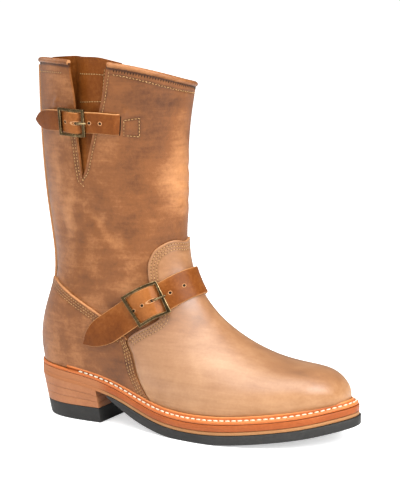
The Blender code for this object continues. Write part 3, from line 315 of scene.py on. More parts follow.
def layGrid(name, points):  # a grid primitive, laid over points in rows and columns
    rows, columns = points.shape[:2]
    bpy.ops.object.select_all(action="DESELECT")
    bpy.ops.mesh.primitive_grid_add(x_subdivisions=columns - 1, y_subdivisions=rows - 1, size=1)
    piece = bpy.context.object
    piece.name = piece.data.name = name
    piece.data.vertices.foreach_set("co", toBoot(points).astype(np.float32).ravel())
    piece.data.update()
    return piece


def layFaces(name, points, faces):
    mesh = bpy.data.meshes.new(name)
    mesh.from_pydata(toBoot(points).tolist(), [], faces)
    piece = bpy.data.objects.new(name, mesh)
    bpy.context.scene.collection.objects.link(piece)
    return piece


def capEnds(grid):  # both end rings drawn to their middle
    first, last = (np.repeat(grid[k][None].mean(1, keepdims=True), grid.shape[1], 1) for k in (0, -1))
    return np.concatenate([first, grid, last])


def paintPoints(piece, name, values):
    layer = piece.data.attributes.new(name, "FLOAT", "POINT")
    layer.data.foreach_set("value", np.asarray(values, np.float32).ravel())


def dropFaces(piece, faces):
    pickOnly(piece)
    chosen = np.zeros(len(piece.data.polygons), bool)
    chosen[faces] = True
    bpy.ops.object.mode_set(mode="EDIT")
    bpy.ops.mesh.select_mode(type="FACE")
    bpy.ops.mesh.select_all(action="DESELECT")
    bpy.ops.object.mode_set(mode="OBJECT")
    piece.data.polygons.foreach_set("select", chosen)
    bpy.ops.object.mode_set(mode="EDIT")
    bpy.ops.mesh.delete(type="FACE")
    bpy.ops.object.mode_set(mode="OBJECT")


def closeSeams(piece, reach=0.00002, recalc=False):
    pickOnly(piece)
    bpy.ops.object.mode_set(mode="EDIT")
    bpy.ops.mesh.select_all(action="SELECT")
    bpy.ops.mesh.remove_doubles(threshold=reach)
    bpy.ops.mesh.delete_loose()
    if recalc:
        bpy.ops.mesh.select_all(action="SELECT")
        bpy.ops.mesh.normals_make_consistent(inside=False)
    bpy.ops.object.mode_set(mode="OBJECT")


def joinPieces(pieces):
    bpy.ops.object.select_all(action="DESELECT")
    for piece in pieces:
        piece.select_set(True)
    bpy.context.view_layer.objects.active = pieces[0]
    bpy.ops.object.join()
    return pieces[0]


def applyAll(piece):
    pickOnly(piece)
    for modifier in list(piece.modifiers):
        bpy.ops.object.modifier_apply(modifier=modifier.name)


def giveWall(piece, thick, inner=0, rim=0):  # wall to the inside of a sheet
    wall = piece.modifiers.new("wall", "SOLIDIFY")
    wall.thickness = thick * 0.001
    wall.offset = -1
    wall.material_offset = inner
    wall.material_offset_rim = rim
    applyAll(piece)


def finishPiece(piece, materials, nodes=(), angle=45):
    piece.data.materials.clear()
    for material in materials:
        piece.data.materials.append(material)
    pickOnly(piece)
    bpy.ops.object.shade_smooth_by_angle(angle=math.radians(angle))
    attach(piece, "root")
    if nodes:
        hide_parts(*nodes)
    print("made", piece.name, len(piece.data.polygons), "faces")


# Finishes. Shared effects are node groups with their own inputs and outputs.
def startGroup(name, inputs, outputs):
    group = bpy.data.node_groups.new(name, "ShaderNodeTree")
    for label, kind, value in inputs:
        socket = group.interface.new_socket(label, in_out="INPUT", socket_type=kind)
        if value is not None:
            socket.default_value = value
    for label in outputs:
        group.interface.new_socket(label, in_out="OUTPUT", socket_type="NodeSocketFloat")
    nodes = group.nodes
    return group, nodes, group.links, nodes.new("NodeGroupInput"), nodes.new("NodeGroupOutput")


def mathNode(nodes, links, operation, first, second, clamp=False):
    node = nodes.new("ShaderNodeMath")
    node.operation = operation
    node.use_clamp = clamp
    for socket, value in zip(node.inputs, (first, second)):
        if isinstance(value, (int, float)):
            socket.default_value = value
        else:
            links.new(value, socket)
    return node.outputs[0]


def noiseNode(nodes, links, vector, scale, detail=4.0, rough=0.55, bend=0.0):
    node = nodes.new("ShaderNodeTexNoise")
    node.inputs["Detail"].default_value = detail
    node.inputs["Roughness"].default_value = rough
    node.inputs["Distortion"].default_value = bend
    links.new(vector, node.inputs["Vector"])
    if isinstance(scale, (int, float)):
        node.inputs["Scale"].default_value = scale
    else:
        links.new(scale, node.inputs["Scale"])
    return node.outputs["Fac"]


def makeCloudGroup():  # soft clouds and fine mottling of oiled leather, around zero
    group, nodes, links, start, end = startGroup(
        "oiledClouds", (("Vector", "NodeSocketVector", None), ("Scale", "NodeSocketFloat", 14.0),
                        ("Depth", "NodeSocketFloat", 0.6)), ("Shift", "Fine"))
    cloud = noiseNode(nodes, links, start.outputs["Vector"], start.outputs["Scale"], 2.5, 0.5, 0.9)
    spotScale = mathNode(nodes, links, "MULTIPLY", start.outputs["Scale"], 5.0)
    spots = noiseNode(nodes, links, start.outputs["Vector"], spotScale, 3.0, 0.55, 0.8)
    spots = mathNode(nodes, links, "MULTIPLY", spots, 0.34)
    cloud = mathNode(nodes, links, "ADD", cloud, spots)
    cloud = mathNode(nodes, links, "SUBTRACT", cloud, 0.67)
    cloud = mathNode(nodes, links, "MULTIPLY", cloud, start.outputs["Depth"])
    fine = noiseNode(nodes, links, start.outputs["Vector"], 420.0, 3.0, 0.6)
    fine = mathNode(nodes, links, "SUBTRACT", fine, 0.5)
    links.new(cloud, end.inputs["Shift"])
    links.new(fine, end.inputs["Fine"])
    return group


def makeGrainGroup():  # pebbled grain with pores and faint pull lines
    group, nodes, links, start, end = startGroup(
        "leatherGrain", (("Vector", "NodeSocketVector", None), ("Pebble", "NodeSocketFloat", 900.0),
                         ("Crease", "NodeSocketFloat", 60.0)), ("Height",))
    cells = nodes.new("ShaderNodeTexVoronoi")
    cells.feature = "SMOOTH_F1"
    cells.inputs["Smoothness"].default_value = 0.6
    links.new(start.outputs["Vector"], cells.inputs["Vector"])
    links.new(start.outputs["Pebble"], cells.inputs["Scale"])
    waves = noiseNode(nodes, links, start.outputs["Vector"], start.outputs["Crease"], 6.0, 0.65, 0.8)
    pebble = mathNode(nodes, links, "MULTIPLY", cells.outputs["Distance"], -0.5)
    total = mathNode(nodes, links, "ADD", pebble, waves)
    links.new(total, end.inputs["Height"])
    return group


cloudGroup = makeCloudGroup()
grainGroup = makeGrainGroup()


def startMaterial(name):
    material = bpy.data.materials.new(name)
    material.use_nodes = True
    nodes, links = material.node_tree.nodes, material.node_tree.links
    place = nodes.new("ShaderNodeTexCoord")
    return material, nodes, links, nodes["Principled BSDF"], place.outputs["Object"]


def placeGroup(nodes, links, group, vector, **values):
    node = nodes.new("ShaderNodeGroup")
    node.node_tree = group
    links.new(vector, node.inputs["Vector"])
    for label, value in values.items():
        node.inputs[label].default_value = value
    return node


def rampNode(nodes, links, value, stops):
    ramp = nodes.new("ShaderNodeValToRGB")
    points = ramp.color_ramp.elements
    while len(points) < len(stops):
        points.new(0.5)
    for point, (place, colour) in zip(points, stops):
        point.position = place
        point.color = (*colour, 1.0)
    links.new(value, ramp.inputs["Fac"])
    return ramp.outputs["Color"]


def mixColour(nodes, links, mask, first, second):
    mix = nodes.new("ShaderNodeMix")
    mix.data_type = "RGBA"
    links.new(mask, mix.inputs["Factor"])
    for socket, value in ((mix.inputs["A"], first), (mix.inputs["B"], second)):
        if isinstance(value, tuple):
            socket.default_value = (*value, 1.0)
        else:
            links.new(value, socket)
    return mix.outputs["Result"]


def attributeNode(nodes, name):  # values painted on the points of a piece
    node = nodes.new("ShaderNodeAttribute")
    node.attribute_name = name
    return node.outputs["Fac"]


def aroundLevel(nodes, links, value, depth, level):
    node = mathNode(nodes, links, "MULTIPLY_ADD", value, depth).node
    node.inputs[2].default_value = level
    return node.outputs[0]


def addBump(nodes, links, shader, height, strength, distance):
    bump = nodes.new("ShaderNodeBump")
    bump.inputs["Strength"].default_value = strength
    bump.inputs["Distance"].default_value = distance
    links.new(height, bump.inputs["Height"])
    links.new(bump.outputs["Normal"], shader.inputs["Normal"])


def placeClouds(nodes, links, vector, look):
    return placeGroup(nodes, links, cloudGroup, vector, Scale=look["cloudScale"], Depth=look["cloudDepth"]).outputs


def placeGrain(nodes, links, vector, look):
    return placeGroup(nodes, links, grainGroup, vector, Pebble=look["pebble"], Crease=look["crease"]).outputs["Height"]


def leatherMaterial(name, look):
    material, nodes, links, shader, vector = startMaterial(name)
    clouds = placeClouds(nodes, links, vector, look)
    edge = attributeNode(nodes, "edge")
    total = mathNode(nodes, links, "ADD", clouds["Shift"], attributeNode(nodes, "tone"))
    fine = mathNode(nodes, links, "MULTIPLY", clouds["Fine"], look["mottle"])
    total = mathNode(nodes, links, "ADD", total, fine)
    if "streak" in look:  # fine pulled lines
        stretched = nodes.new("ShaderNodeVectorMath")
        stretched.operation = "MULTIPLY"
        stretched.inputs[1].default_value = look["stretch"]
        links.new(vector, stretched.inputs[0])
        lines = noiseNode(nodes, links, stretched.outputs[0], 1.0, 3.0, 0.6, 0.5)
        lines = mathNode(nodes, links, "SUBTRACT", lines, 0.5)
        total = mathNode(nodes, links, "ADD", total, mathNode(nodes, links, "MULTIPLY", lines, look["streak"]))
    total = mathNode(nodes, links, "ADD", total, 0.5, True)
    colour = rampNode(nodes, links, total, look["colours"])
    colour = mixColour(nodes, links, edge, colour, look["edge"])
    links.new(colour, shader.inputs["Base Color"])
    gloss = aroundLevel(nodes, links, clouds["Fine"], 0.25, look["rough"])
    dull = mathNode(nodes, links, "MULTIPLY", edge, 0.25)
    links.new(mathNode(nodes, links, "ADD", gloss, dull, True), shader.inputs["Roughness"])
    addBump(nodes, links, shader, placeGrain(nodes, links, vector, look), look["bump"], 0.0004)
    shader.inputs["Specular IOR Level"].default_value = look["specular"]
    shader.inputs["Coat Weight"].default_value = look["coat"]
    shader.inputs["Coat Roughness"].default_value = 0.48 if "sheen" in look else 0.35
    if "sheen" in look:
        sheen = mathNode(nodes, links, "MULTIPLY", attributeNode(nodes, "sheen"), look["sheen"])
        links.new(sheen, shader.inputs["Coat Weight"])
    return material


leatherLooks = {
    "shaftLeather": {"cloudScale": 15.0, "cloudDepth": 1.10, "mottle": 0.32, "rough": 0.45, "pebble": 1100.0,
                     "crease": 70.0, "bump": 0.34, "specular": 0.26, "coat": 0.06, "edge": (0.40, 0.18, 0.070),
                     "streak": 0.42, "stretch": (34.0, 34.0, 210.0),
                     "colours": ((0.0, (0.055, 0.016, 0.003)), (0.5, (0.178, 0.060, 0.014)),
                                 (1.0, (0.42, 0.183, 0.068)))},
    "vampLeather": {"cloudScale": 15.0, "cloudDepth": 0.70, "mottle": 0.24, "rough": 0.40, "pebble": 1200.0,
                    "crease": 60.0, "bump": 0.26, "specular": 0.38, "coat": 0.0, "edge": (0.42, 0.20, 0.080),
                    "streak": 0.46, "stretch": (18.0, 120.0, 210.0), "sheen": 1.0,
                    "colours": ((0.0, (0.118, 0.043, 0.012)), (0.5, (0.246, 0.104, 0.034)),
                                (1.0, (0.40, 0.212, 0.098)))},
    "strapLeather": {"cloudScale": 24.0, "cloudDepth": 0.85, "mottle": 0.50, "rough": 0.35, "pebble": 1100.0,
                     "crease": 80.0, "bump": 0.28, "specular": 0.07, "coat": 0.05, "edge": (0.50, 0.24, 0.09),
                     "colours": ((0.0, (0.058, 0.014, 0.002)), (0.5, (0.150, 0.042, 0.007)),
                                 (1.0, (0.29, 0.102, 0.026)))},
    "lining": {"cloudScale": 18.0, "cloudDepth": 0.5, "mottle": 0.35, "rough": 0.72, "pebble": 1500.0,
               "crease": 120.0, "bump": 0.25, "specular": 0.3, "coat": 0.0, "edge": (0.34, 0.20, 0.10),
               "colours": ((0.0, (0.085, 0.042, 0.02)), (0.5, (0.17, 0.088, 0.042)), (1.0, (0.27, 0.16, 0.085)))},
    "rawEdge": {"cloudScale": 60.0, "cloudDepth": 0.5, "mottle": 0.4, "rough": 0.7, "pebble": 1500.0,
                "crease": 200.0, "bump": 0.3, "specular": 0.3, "coat": 0.0, "edge": (0.42, 0.21, 0.09),
                "colours": ((0.0, (0.22, 0.085, 0.028)), (0.5, (0.40, 0.19, 0.075)), (1.0, (0.56, 0.32, 0.16)))},
    "weltLeather": {"cloudScale": 30.0, "cloudDepth": 0.4, "mottle": 0.3, "rough": 0.45, "pebble": 900.0,
                    "crease": 150.0, "bump": 0.25, "specular": 0.30, "coat": 0.05, "edge": (0.62, 0.26, 0.09),
                    "colours": ((0.0, (0.24, 0.056, 0.010)), (0.5, (0.42, 0.107, 0.020)), (1.0, (0.59, 0.20, 0.054)))},
    "midsoleLeather": {"cloudScale": 40.0, "cloudDepth": 0.4, "mottle": 0.4, "rough": 0.5, "pebble": 900.0,
                       "crease": 200.0, "bump": 0.3, "specular": 0.25, "coat": 0.05, "edge": (0.32, 0.120, 0.046),
                       "colours": ((0.0, (0.19, 0.040, 0.006)), (0.5, (0.285, 0.064, 0.010)),
                                   (1.0, (0.47, 0.14, 0.032)))},
    "runnerLeather": {"cloudScale": 40.0, "cloudDepth": 0.4, "mottle": 0.4, "rough": 0.55, "pebble": 900.0,
                      "crease": 200.0, "bump": 0.3, "specular": 0.25, "coat": 0.0, "edge": (0.32, 0.120, 0.046),
                      "colours": ((0.0, (0.24, 0.095, 0.03)), (0.5, (0.32, 0.146, 0.054)),
                                  (1.0, (0.50, 0.26, 0.11)))},
}
leather = {name: leatherMaterial(name, look) for name, look in leatherLooks.items()}


def stackMaterial(look):  # stacked lifts: fine lines between the layers
    material, nodes, links, shader, vector = startMaterial("heelStack")
    clouds = placeClouds(nodes, links, vector, look)
    total = mathNode(nodes, links, "ADD", clouds["Shift"], 0.5)
    fine = mathNode(nodes, links, "MULTIPLY", clouds["Fine"], 0.5)
    total = mathNode(nodes, links, "ADD", total, fine, True)
    colour = rampNode(nodes, links, total, look["colours"])
    folded = mathNode(nodes, links, "FRACT", attributeNode(nodes, "layers"), 0.0)
    folded = mathNode(nodes, links, "SUBTRACT", folded, 0.5)
    folded = mathNode(nodes, links, "ABSOLUTE", folded, 0.0)
    line = mathNode(nodes, links, "SUBTRACT", folded, 0.455)
    line = mathNode(nodes, links, "MULTIPLY", line, 14.0, True)
    links.new(mixColour(nodes, links, line, colour, look["line"]), shader.inputs["Base Color"])
    groove = mathNode(nodes, links, "MULTIPLY", line, -look["groove"])
    height = mathNode(nodes, links, "ADD", placeGrain(nodes, links, vector, look), groove)
    addBump(nodes, links, shader, height, look["bump"], 0.0004)
    links.new(aroundLevel(nodes, links, clouds["Fine"], *look["rough"]), shader.inputs["Roughness"])
    shader.inputs["Specular IOR Level"].default_value = look["specular"]
    return material


def rubberMaterial(look):
    material, nodes, links, shader, vector = startMaterial("soleRubber")
    clouds = placeClouds(nodes, links, vector, look)
    total = mathNode(nodes, links, "ADD", clouds["Shift"], 0.5)
    total = mathNode(nodes, links, "ADD", total, clouds["Fine"], True)
    links.new(rampNode(nodes, links, total, look["colours"]), shader.inputs["Base Color"])
    links.new(aroundLevel(nodes, links, clouds["Fine"], *look["rough"]), shader.inputs["Roughness"])
    shader.inputs["Specular IOR Level"].default_value = look["specular"]
    addBump(nodes, links, shader, placeGrain(nodes, links, vector, look), look["bump"], 0.0003)
    return material


def brassMaterial(look):  # antique brass: dark in the hollows, worn bright on top
    material, nodes, links, shader, vector = startMaterial("antiqueBrass")
    clouds = placeClouds(nodes, links, vector, look)
    total = mathNode(nodes, links, "ADD", clouds["Shift"], look["start"])
    wear = mathNode(nodes, links, "MULTIPLY", attributeNode(nodes, "edge"), look["wearAndPaintedLight"])
    total = mathNode(nodes, links, "ADD", total, wear, True)
    links.new(rampNode(nodes, links, total, look["colours"]), shader.inputs["Base Color"])
    shader.inputs["Metallic"].default_value = 1.0
    links.new(aroundLevel(nodes, links, clouds["Fine"], *look["rough"]), shader.inputs["Roughness"])
    addBump(nodes, links, shader, placeGrain(nodes, links, vector, look), look["bump"], 0.0003)
    return material


def threadAndShadeMaterial(name, look):  # twisted waxed thread; its dark looks are painted shade in needle holes, strap holes, slots and gathers
    material, nodes, links, shader, vector = startMaterial(name)
    clouds = placeGroup(nodes, links, cloudGroup, vector, Scale=200.0, Depth=0.9).outputs
    total = mathNode(nodes, links, "ADD", clouds["Shift"], 0.5)
    total = mathNode(nodes, links, "ADD", total, clouds["Fine"], True)
    links.new(rampNode(nodes, links, total, look["colours"]), shader.inputs["Base Color"])
    shader.inputs["Roughness"].default_value = 0.55
    shader.inputs["Specular IOR Level"].default_value = look["specular"]
    twist = noiseNode(nodes, links, vector, 2200.0, 2.0, 0.5)
    addBump(nodes, links, shader, twist, 0.4, 0.0002)
    return material


# "rough" is depth and level of the roughness.
stackLook = {"cloudScale": 45.0, "cloudDepth": 0.6, "rough": (0.3, 0.5), "pebble": 700.0, "crease": 260.0,
             "bump": 0.35, "groove": 1.2, "specular": 0.3, "line": (0.245, 0.090, 0.033),
             "colours": ((0.0, (0.22, 0.078, 0.028)), (0.5, (0.32, 0.122, 0.047)), (1.0, (0.44, 0.195, 0.088)))}
rubberLook = {"cloudScale": 30.0, "cloudDepth": 0.8, "rough": (0.4, 0.62), "pebble": 1600.0, "crease": 500.0,
              "bump": 0.3, "specular": 0.32,
              "colours": ((0.0, (0.008, 0.008, 0.007)), (0.5, (0.017, 0.0165, 0.0155)), (1.0, (0.036, 0.034, 0.032)))}
brassLook = {"cloudScale": 90.0, "cloudDepth": 0.8, "rough": (0.5, 0.30), "pebble": 1400.0, "crease": 300.0,
             "bump": 0.12, "start": 0.42, "wearAndPaintedLight": 0.34,
             "colours": ((0.0, (0.022, 0.015, 0.006)), (0.5, (0.076, 0.050, 0.023)), (1.0, (0.50, 0.36, 0.18)))}
threadAndShadeLooks = {
    "seamThread": {"specular": 0.3, "colours": ((0.0, (0.24, 0.12, 0.036)), (0.5, (0.36, 0.20, 0.068)),
                                                (1.0, (0.50, 0.31, 0.13)))},
    "weltThread": {"specular": 0.2, "colours": ((0.0, (0.46, 0.37, 0.26)), (0.5, (0.62, 0.53, 0.40)),
                                                (1.0, (0.76, 0.69, 0.57)))},
    # painted shade: the dark discs in the needle holes
    "needleHoleShade": {"specular": 0.12, "colours": ((0.0, (0.05, 0.020, 0.007)), (0.5, (0.100, 0.042, 0.016)),
                                                 (1.0, (0.16, 0.07, 0.03)))},
    # painted shade: pits of the strap holes, the strap slots and the gathers under the collar's roll
    "holeShade": {"specular": 0.05, "colours": ((0.0, (0.006, 0.004, 0.003)), (0.5, (0.014, 0.009, 0.005)),
                                                (1.0, (0.026, 0.017, 0.009)))},
}
heelStack = stackMaterial(stackLook)
soleRubber = rubberMaterial(rubberLook)
antiqueBrass = brassMaterial(brassLook)
threadAndShade = {name: threadAndShadeMaterial(name, look) for name, look in threadAndShadeLooks.items()}
print("finishes ready")

# Upper: slit on the outer side, edges of the overlays, soft creases.
slitLook = {
    "tip": 19.85,
    "rows": ((19.85, 0.2280, 0.2280), (20.2, 0.2270, 0.2395), (20.9, 0.2255, 0.2550), (21.3, 0.2245, 0.2630),
             (22.5, 0.2235, 0.2840), (23.5, 0.2165, 0.2920), (24.0, 0.2130, 0.2955)),  # row, back, front edge
}
slitBack = steadyCurve([(row, back) for row, back, front in slitLook["rows"]])
slitFront = steadyCurve([(row, front) for row, back, front in slitLook["rows"]])

# Overlays on the upper: each ends in a rolled lip with a raw, lighter edge.
overlayLook = {
    "sheen": (7.0, 26.0, 0.22),  # the vamp shines above its lowest band: start, full, lighter tone below, a painted light where it shines less
    "gap": 0.4,
    "thick": 1.7,
    "counterExtra": 0.5,
    "lip": ((0.75, 1.0), (0.35, 0.965), (0.12, 0.86), (0.0, 0.62), (0.0, 0.30), (0.0, -0.05)),  # inset, height
    "vampShared": 6.4,
    "vampRows": (44, 62),
    "vampColumns": 190,
    "vampCorners": (0.182, 0.278, 0.355, 0.645, 0.722, 0.805),
    "vampSeam": (0.200, 0.785, 0.02),  # the counter covers the edge beside these places; width of the change
    "tabSheen": (10.0, 0.6),  # row where the shine goes back, and by how much
    "skive": (6.0, 1.1),
    "vampEdge": ((0.000, 8.20), (0.035, 8.53), (0.090, 9.08), (0.150, 9.66), (0.182, 10.15), (0.250, 9.72),
                 (0.278, 9.58), (0.300, 9.95), (0.333, 11.46), (0.355, 12.25), (0.380, 12.60), (0.410, 12.48),
                 (0.500, 11.85), (0.590, 12.48), (0.620, 12.60), (0.645, 12.25), (0.667, 11.46), (0.700, 9.95),
                 (0.722, 9.58), (0.750, 9.66), (0.805, 9.80), (0.850, 8.85), (0.900, 8.15), (0.950, 7.62),
                 (1.000, 7.25)),  # around, row
    "counterWings": {"outer": (10.17, 0.182), "inner": (9.82, 0.195)},
    "counterTop": ((10.76, 0.1917), (11.36, 0.2012), (11.90, 0.2071), (12.65, 0.2133), (13.14, 0.2173),
                   (13.60, 0.2216), (14.00, 0.2255), (14.25, 0.2210), (14.58, 0.2144), (15.08, 0.2023),
                   (15.52, 0.1886), (15.97, 0.1707), (16.46, 0.1453), (16.81, 0.1220), (17.20, 0.0800),
                   (17.45, 0.000)),  # row, around
    "counterLong": 90.0,
    "seamShade": 0.2,  # darker along the seam with the vamp
    "counterRows": 46,
    "counterColumns": 110,
    "overlap": 1.8,
    "heelBulge": 0.9,
    "heelTuck": 1.1,  # behind the welt the counter reaches down to the rand
    "tuckEnd": 44.0,
}
vampEnd = steadyCurve(overlayLook["vampEdge"])
overlayTop = overlayLook["gap"] + overlayLook["thick"]
counterHeight = overlayTop + overlayLook["counterExtra"]


def counterGrid(side, s, t):  # rows and places around on the counter: s from seam to back, t from welt to top
    wing = overlayLook["counterWings"][side]
    tops = np.array((wing,) + overlayLook["counterTop"])
    line = upperBase(tops[:, 0], tops[:, 1])
    length = lengthAlong(line)
    share = length / length[-1]
    topU = steadyCurve(list(zip(share, tops[:, 0])))(s)
    topV = steadyCurve(list(zip(share, tops[:, 1])))(s)
    front = float(vampEnd(1.0 if side == "inner" else 0.0))
    seamV = t * wing[1]
    seamU = vampEnd(1 - seamV if side == "inner" else seamV)
    u = t * topU + (1 - t) * (front + (heelRow - front) * s) + (1 - s) * (seamU - (1 - t) * front - t * wing[0])
    v = t * topV
    return u, 1 - v if side == "inner" else v


# Rows of stitching as lines of (row, around) on the leather that carries them.
rowLook = {"counterTop": (2.6, 4.9, 7.2), "counterSeam": (2.4, 4.8, 7.2), "vampEdge": (2.6, 5.1, 7.6),
           "slitBack": (2.6, 5.4), "slitFront": (3.0,), "backTop": 21.45, "collar": 0.47, "backPanel": 0.33,
           "collarSpan": (0.012, 0.992, 420), "counterLong": 95.0,
           "shade": 0.26, "shadeWidth": 1.3, "sink": 0.30, "sinkWidth": 0.75,
           "box": ((21.70, 0.3300), (21.74, 0.3625), (20.84, 0.3620), (21.05, 0.3290))}


def collarPlaces():  # places around of the rows close under the collar
    first, last, count = rowLook["collarSpan"]
    return np.linspace(slitFront(collarRow) + first, last, count)


def counterTall(side, s):
    t = np.linspace(0, 1, 14)[:, None]
    line = upperBase(*counterGrid(side, np.clip(s, 0, 1)[None, :], t))
    return np.linalg.norm(np.diff(line, axis=0), axis=2).sum(0)


def rowDistance(points, lines):
    spots = np.concatenate([upperBase(u, v % 1.0) for u, v in lines])
    tree = kdtree.KDTree(len(spots))
    for i, spot in enumerate(spots):
        tree.insert(spot, i)
    tree.balance()
    flat = points.reshape(-1, 3)
    return np.array([tree.find(spot)[2] for spot in flat]).reshape(points.shape[:-1])


def seamLines():
    lines = {"counter": [], "vamp": [], "shaft": [], "collar": []}
    for side in ("outer", "inner"):
        s = np.linspace(0.10, 0.97, 200)
        top = counterGrid(side, np.linspace(0, 1, 700), np.ones(700))
        down = np.linspace(1, 0.62, 40)
        gap = rowDistance(upperBase(*counterGrid(side, s[None, :], down[:, None])), [top])
        for distance in rowLook["counterTop"]:
            t = np.array([np.interp(distance, column, down) for column in gap.T])
            lines["counter"].append(counterGrid(side, s, t))
        t = np.linspace(0.05, 0.97, 120)
        for distance in rowLook["counterSeam"]:
            beside = np.full_like(t, (distance - overlayLook["overlap"]) / rowLook["counterLong"])
            lines["counter"].append(counterGrid(side, beside, t))
    v = np.linspace(0.186, 0.802, 700)
    for distance in rowLook["vampEdge"]:
        lines["vamp"].append(besideLine(vampEnd(v), v, -distance))
    for edge, sign, distances, end in ((slitBack, 1, rowLook["slitBack"], rowLook["backTop"]),
                                       (slitFront, -1, rowLook["slitFront"], collarRow - 0.12)):
        for k, distance in enumerate(distances):
            first = slitLook["tip"] - 0.10 - 0.22 * k  # the outer row meets lower down
            rows = np.linspace(first, end, 160)
            opened = np.maximum(rows, slitLook["tip"])
            lines["shaft"].append(besideLine(rows, edge(opened), sign * distance * softStep((rows - first) / 0.35)))
    at = np.linspace(0.006, slitBack(collarRow) - 0.020, 60)
    lines["shaft"].append((np.full(len(at), collarRow - rowLook["backPanel"]), at))
    at = collarPlaces()
    lines["collar"].append((np.full(len(at), collarRow - rowLook["collar"]) + 0.20 * softStep((0.46 - at) / 0.16), at))
    corners = np.array(rowLook["box"] + rowLook["box"][:1])
    fine = np.linspace(0, len(corners) - 1, 90)
    lines["shaft"].append((np.interp(fine, range(len(corners)), corners[:, 0]),
                           np.interp(fine, range(len(corners)), corners[:, 1])))
    return lines


seamRows = seamLines()


# The darkening along the rows is painted shade in the channels of the stitches.
def rowRelief(points, lines):  # how far the leather sinks under its stitches, and how dark it gets there
    gap = rowDistance(points, lines)
    return (rowLook["sink"] * np.exp(-(gap / rowLook["sinkWidth"]) ** 2),
            rowLook["shade"] * np.exp(-(gap / rowLook["shadeWidth"]) ** 2))


upperLook = {
    "wall": 2.2,
    "intoRoll": 2.2,
    "shadeUnderRoll": (0.10, 0.5),  # painted shadow close under the roll of the collar: rows, amount
    "shadeBesideStrip": (3.0, 0.8, 0.5, 17.2),  # painted shadow on both sides of the back strip: place, width, amount, row
    "rows": ((0, 8, 26), (8, 14, 34), (14, 17.5, 30), (17.5, 19.85, 26), (19.85, 23.4, 40), (23.4, 24, 14)),
    "columns": (46, 170),
    "creases": (  # line of (row, around), width, depth; a negative depth is a ridge
        (((18.7, 0.235), (17.6, 0.262), (16.4, 0.290), (15.2, 0.322)), 6.5, 1.0),
        (((18.2, 0.282), (17.2, 0.300), (16.2, 0.330)), 5.0, 0.8),
        (((18.9, 0.262), (17.8, 0.288), (16.8, 0.318)), 5.0, -0.5),
        (((16.4, 0.40), (15.6, 0.45), (15.2, 0.52), (15.4, 0.60)), 5.0, 0.9),
        (((17.3, 0.42), (16.8, 0.47), (16.6, 0.54), (16.9, 0.62)), 5.0, 0.7),
        (((18.4, 0.47), (18.0, 0.53), (18.1, 0.60), (18.7, 0.66)), 4.5, 0.7),
        (((19.6, 0.55), (19.2, 0.60), (19.2, 0.66)), 4.5, 0.6),
        (((21.3, 0.60), (20.6, 0.64), (20.3, 0.70)), 6.0, 0.7),
        (((16.2, 0.68), (16.6, 0.74), (17.4, 0.80)), 6.0, 0.8),
        (((17.0, 0.90), (17.6, 0.95), (17.9, 1.0), (17.7, 0.05), (17.2, 0.10)), 6.0, 0.6),
        (((22.6, 0.36), (21.0, 0.372), (19.4, 0.378)), 14.0, 0.7),
        (((20.2, 0.12), (19.0, 0.14), (18.0, 0.17)), 9.0, 0.6),
        (((22.22, 0.3290), (22.05, 0.3310), (21.85, 0.3330)), 2.4, -1.8),
        (((21.6, 0.3350), (21.2, 0.3350), (20.9, 0.3340)), 2.0, -0.7),
        (((22.72, 0.1760), (22.56, 0.1720), (22.4, 0.1660)), 2.6, -1.8),
    ),
}


def creaseHeight(points, creases):
    total = np.zeros(points.shape[:-1])
    for line, width, depth in creases:
        u = np.interp(np.linspace(0, len(line) - 1, 40), range(len(line)), [p[0] for p in line])
        v = np.interp(np.linspace(0, len(line) - 1, 40), range(len(line)), np.unwrap([p[1] for p in line], period=1))
        path = upperBase(u, v % 1.0)
        near = np.full(total.shape, np.inf)
        fade = np.zeros(total.shape)
        for k, spot in enumerate(path):
            gap = np.linalg.norm(points - spot, axis=-1)
            closer = gap < near
            near = np.where(closer, gap, near)
            fade = np.where(closer, math.sin(math.pi * (k + 1) / (len(path) + 1)) ** 0.6, fade)
        total -= depth * fade * np.exp(-(near / width) ** 2)
    return total


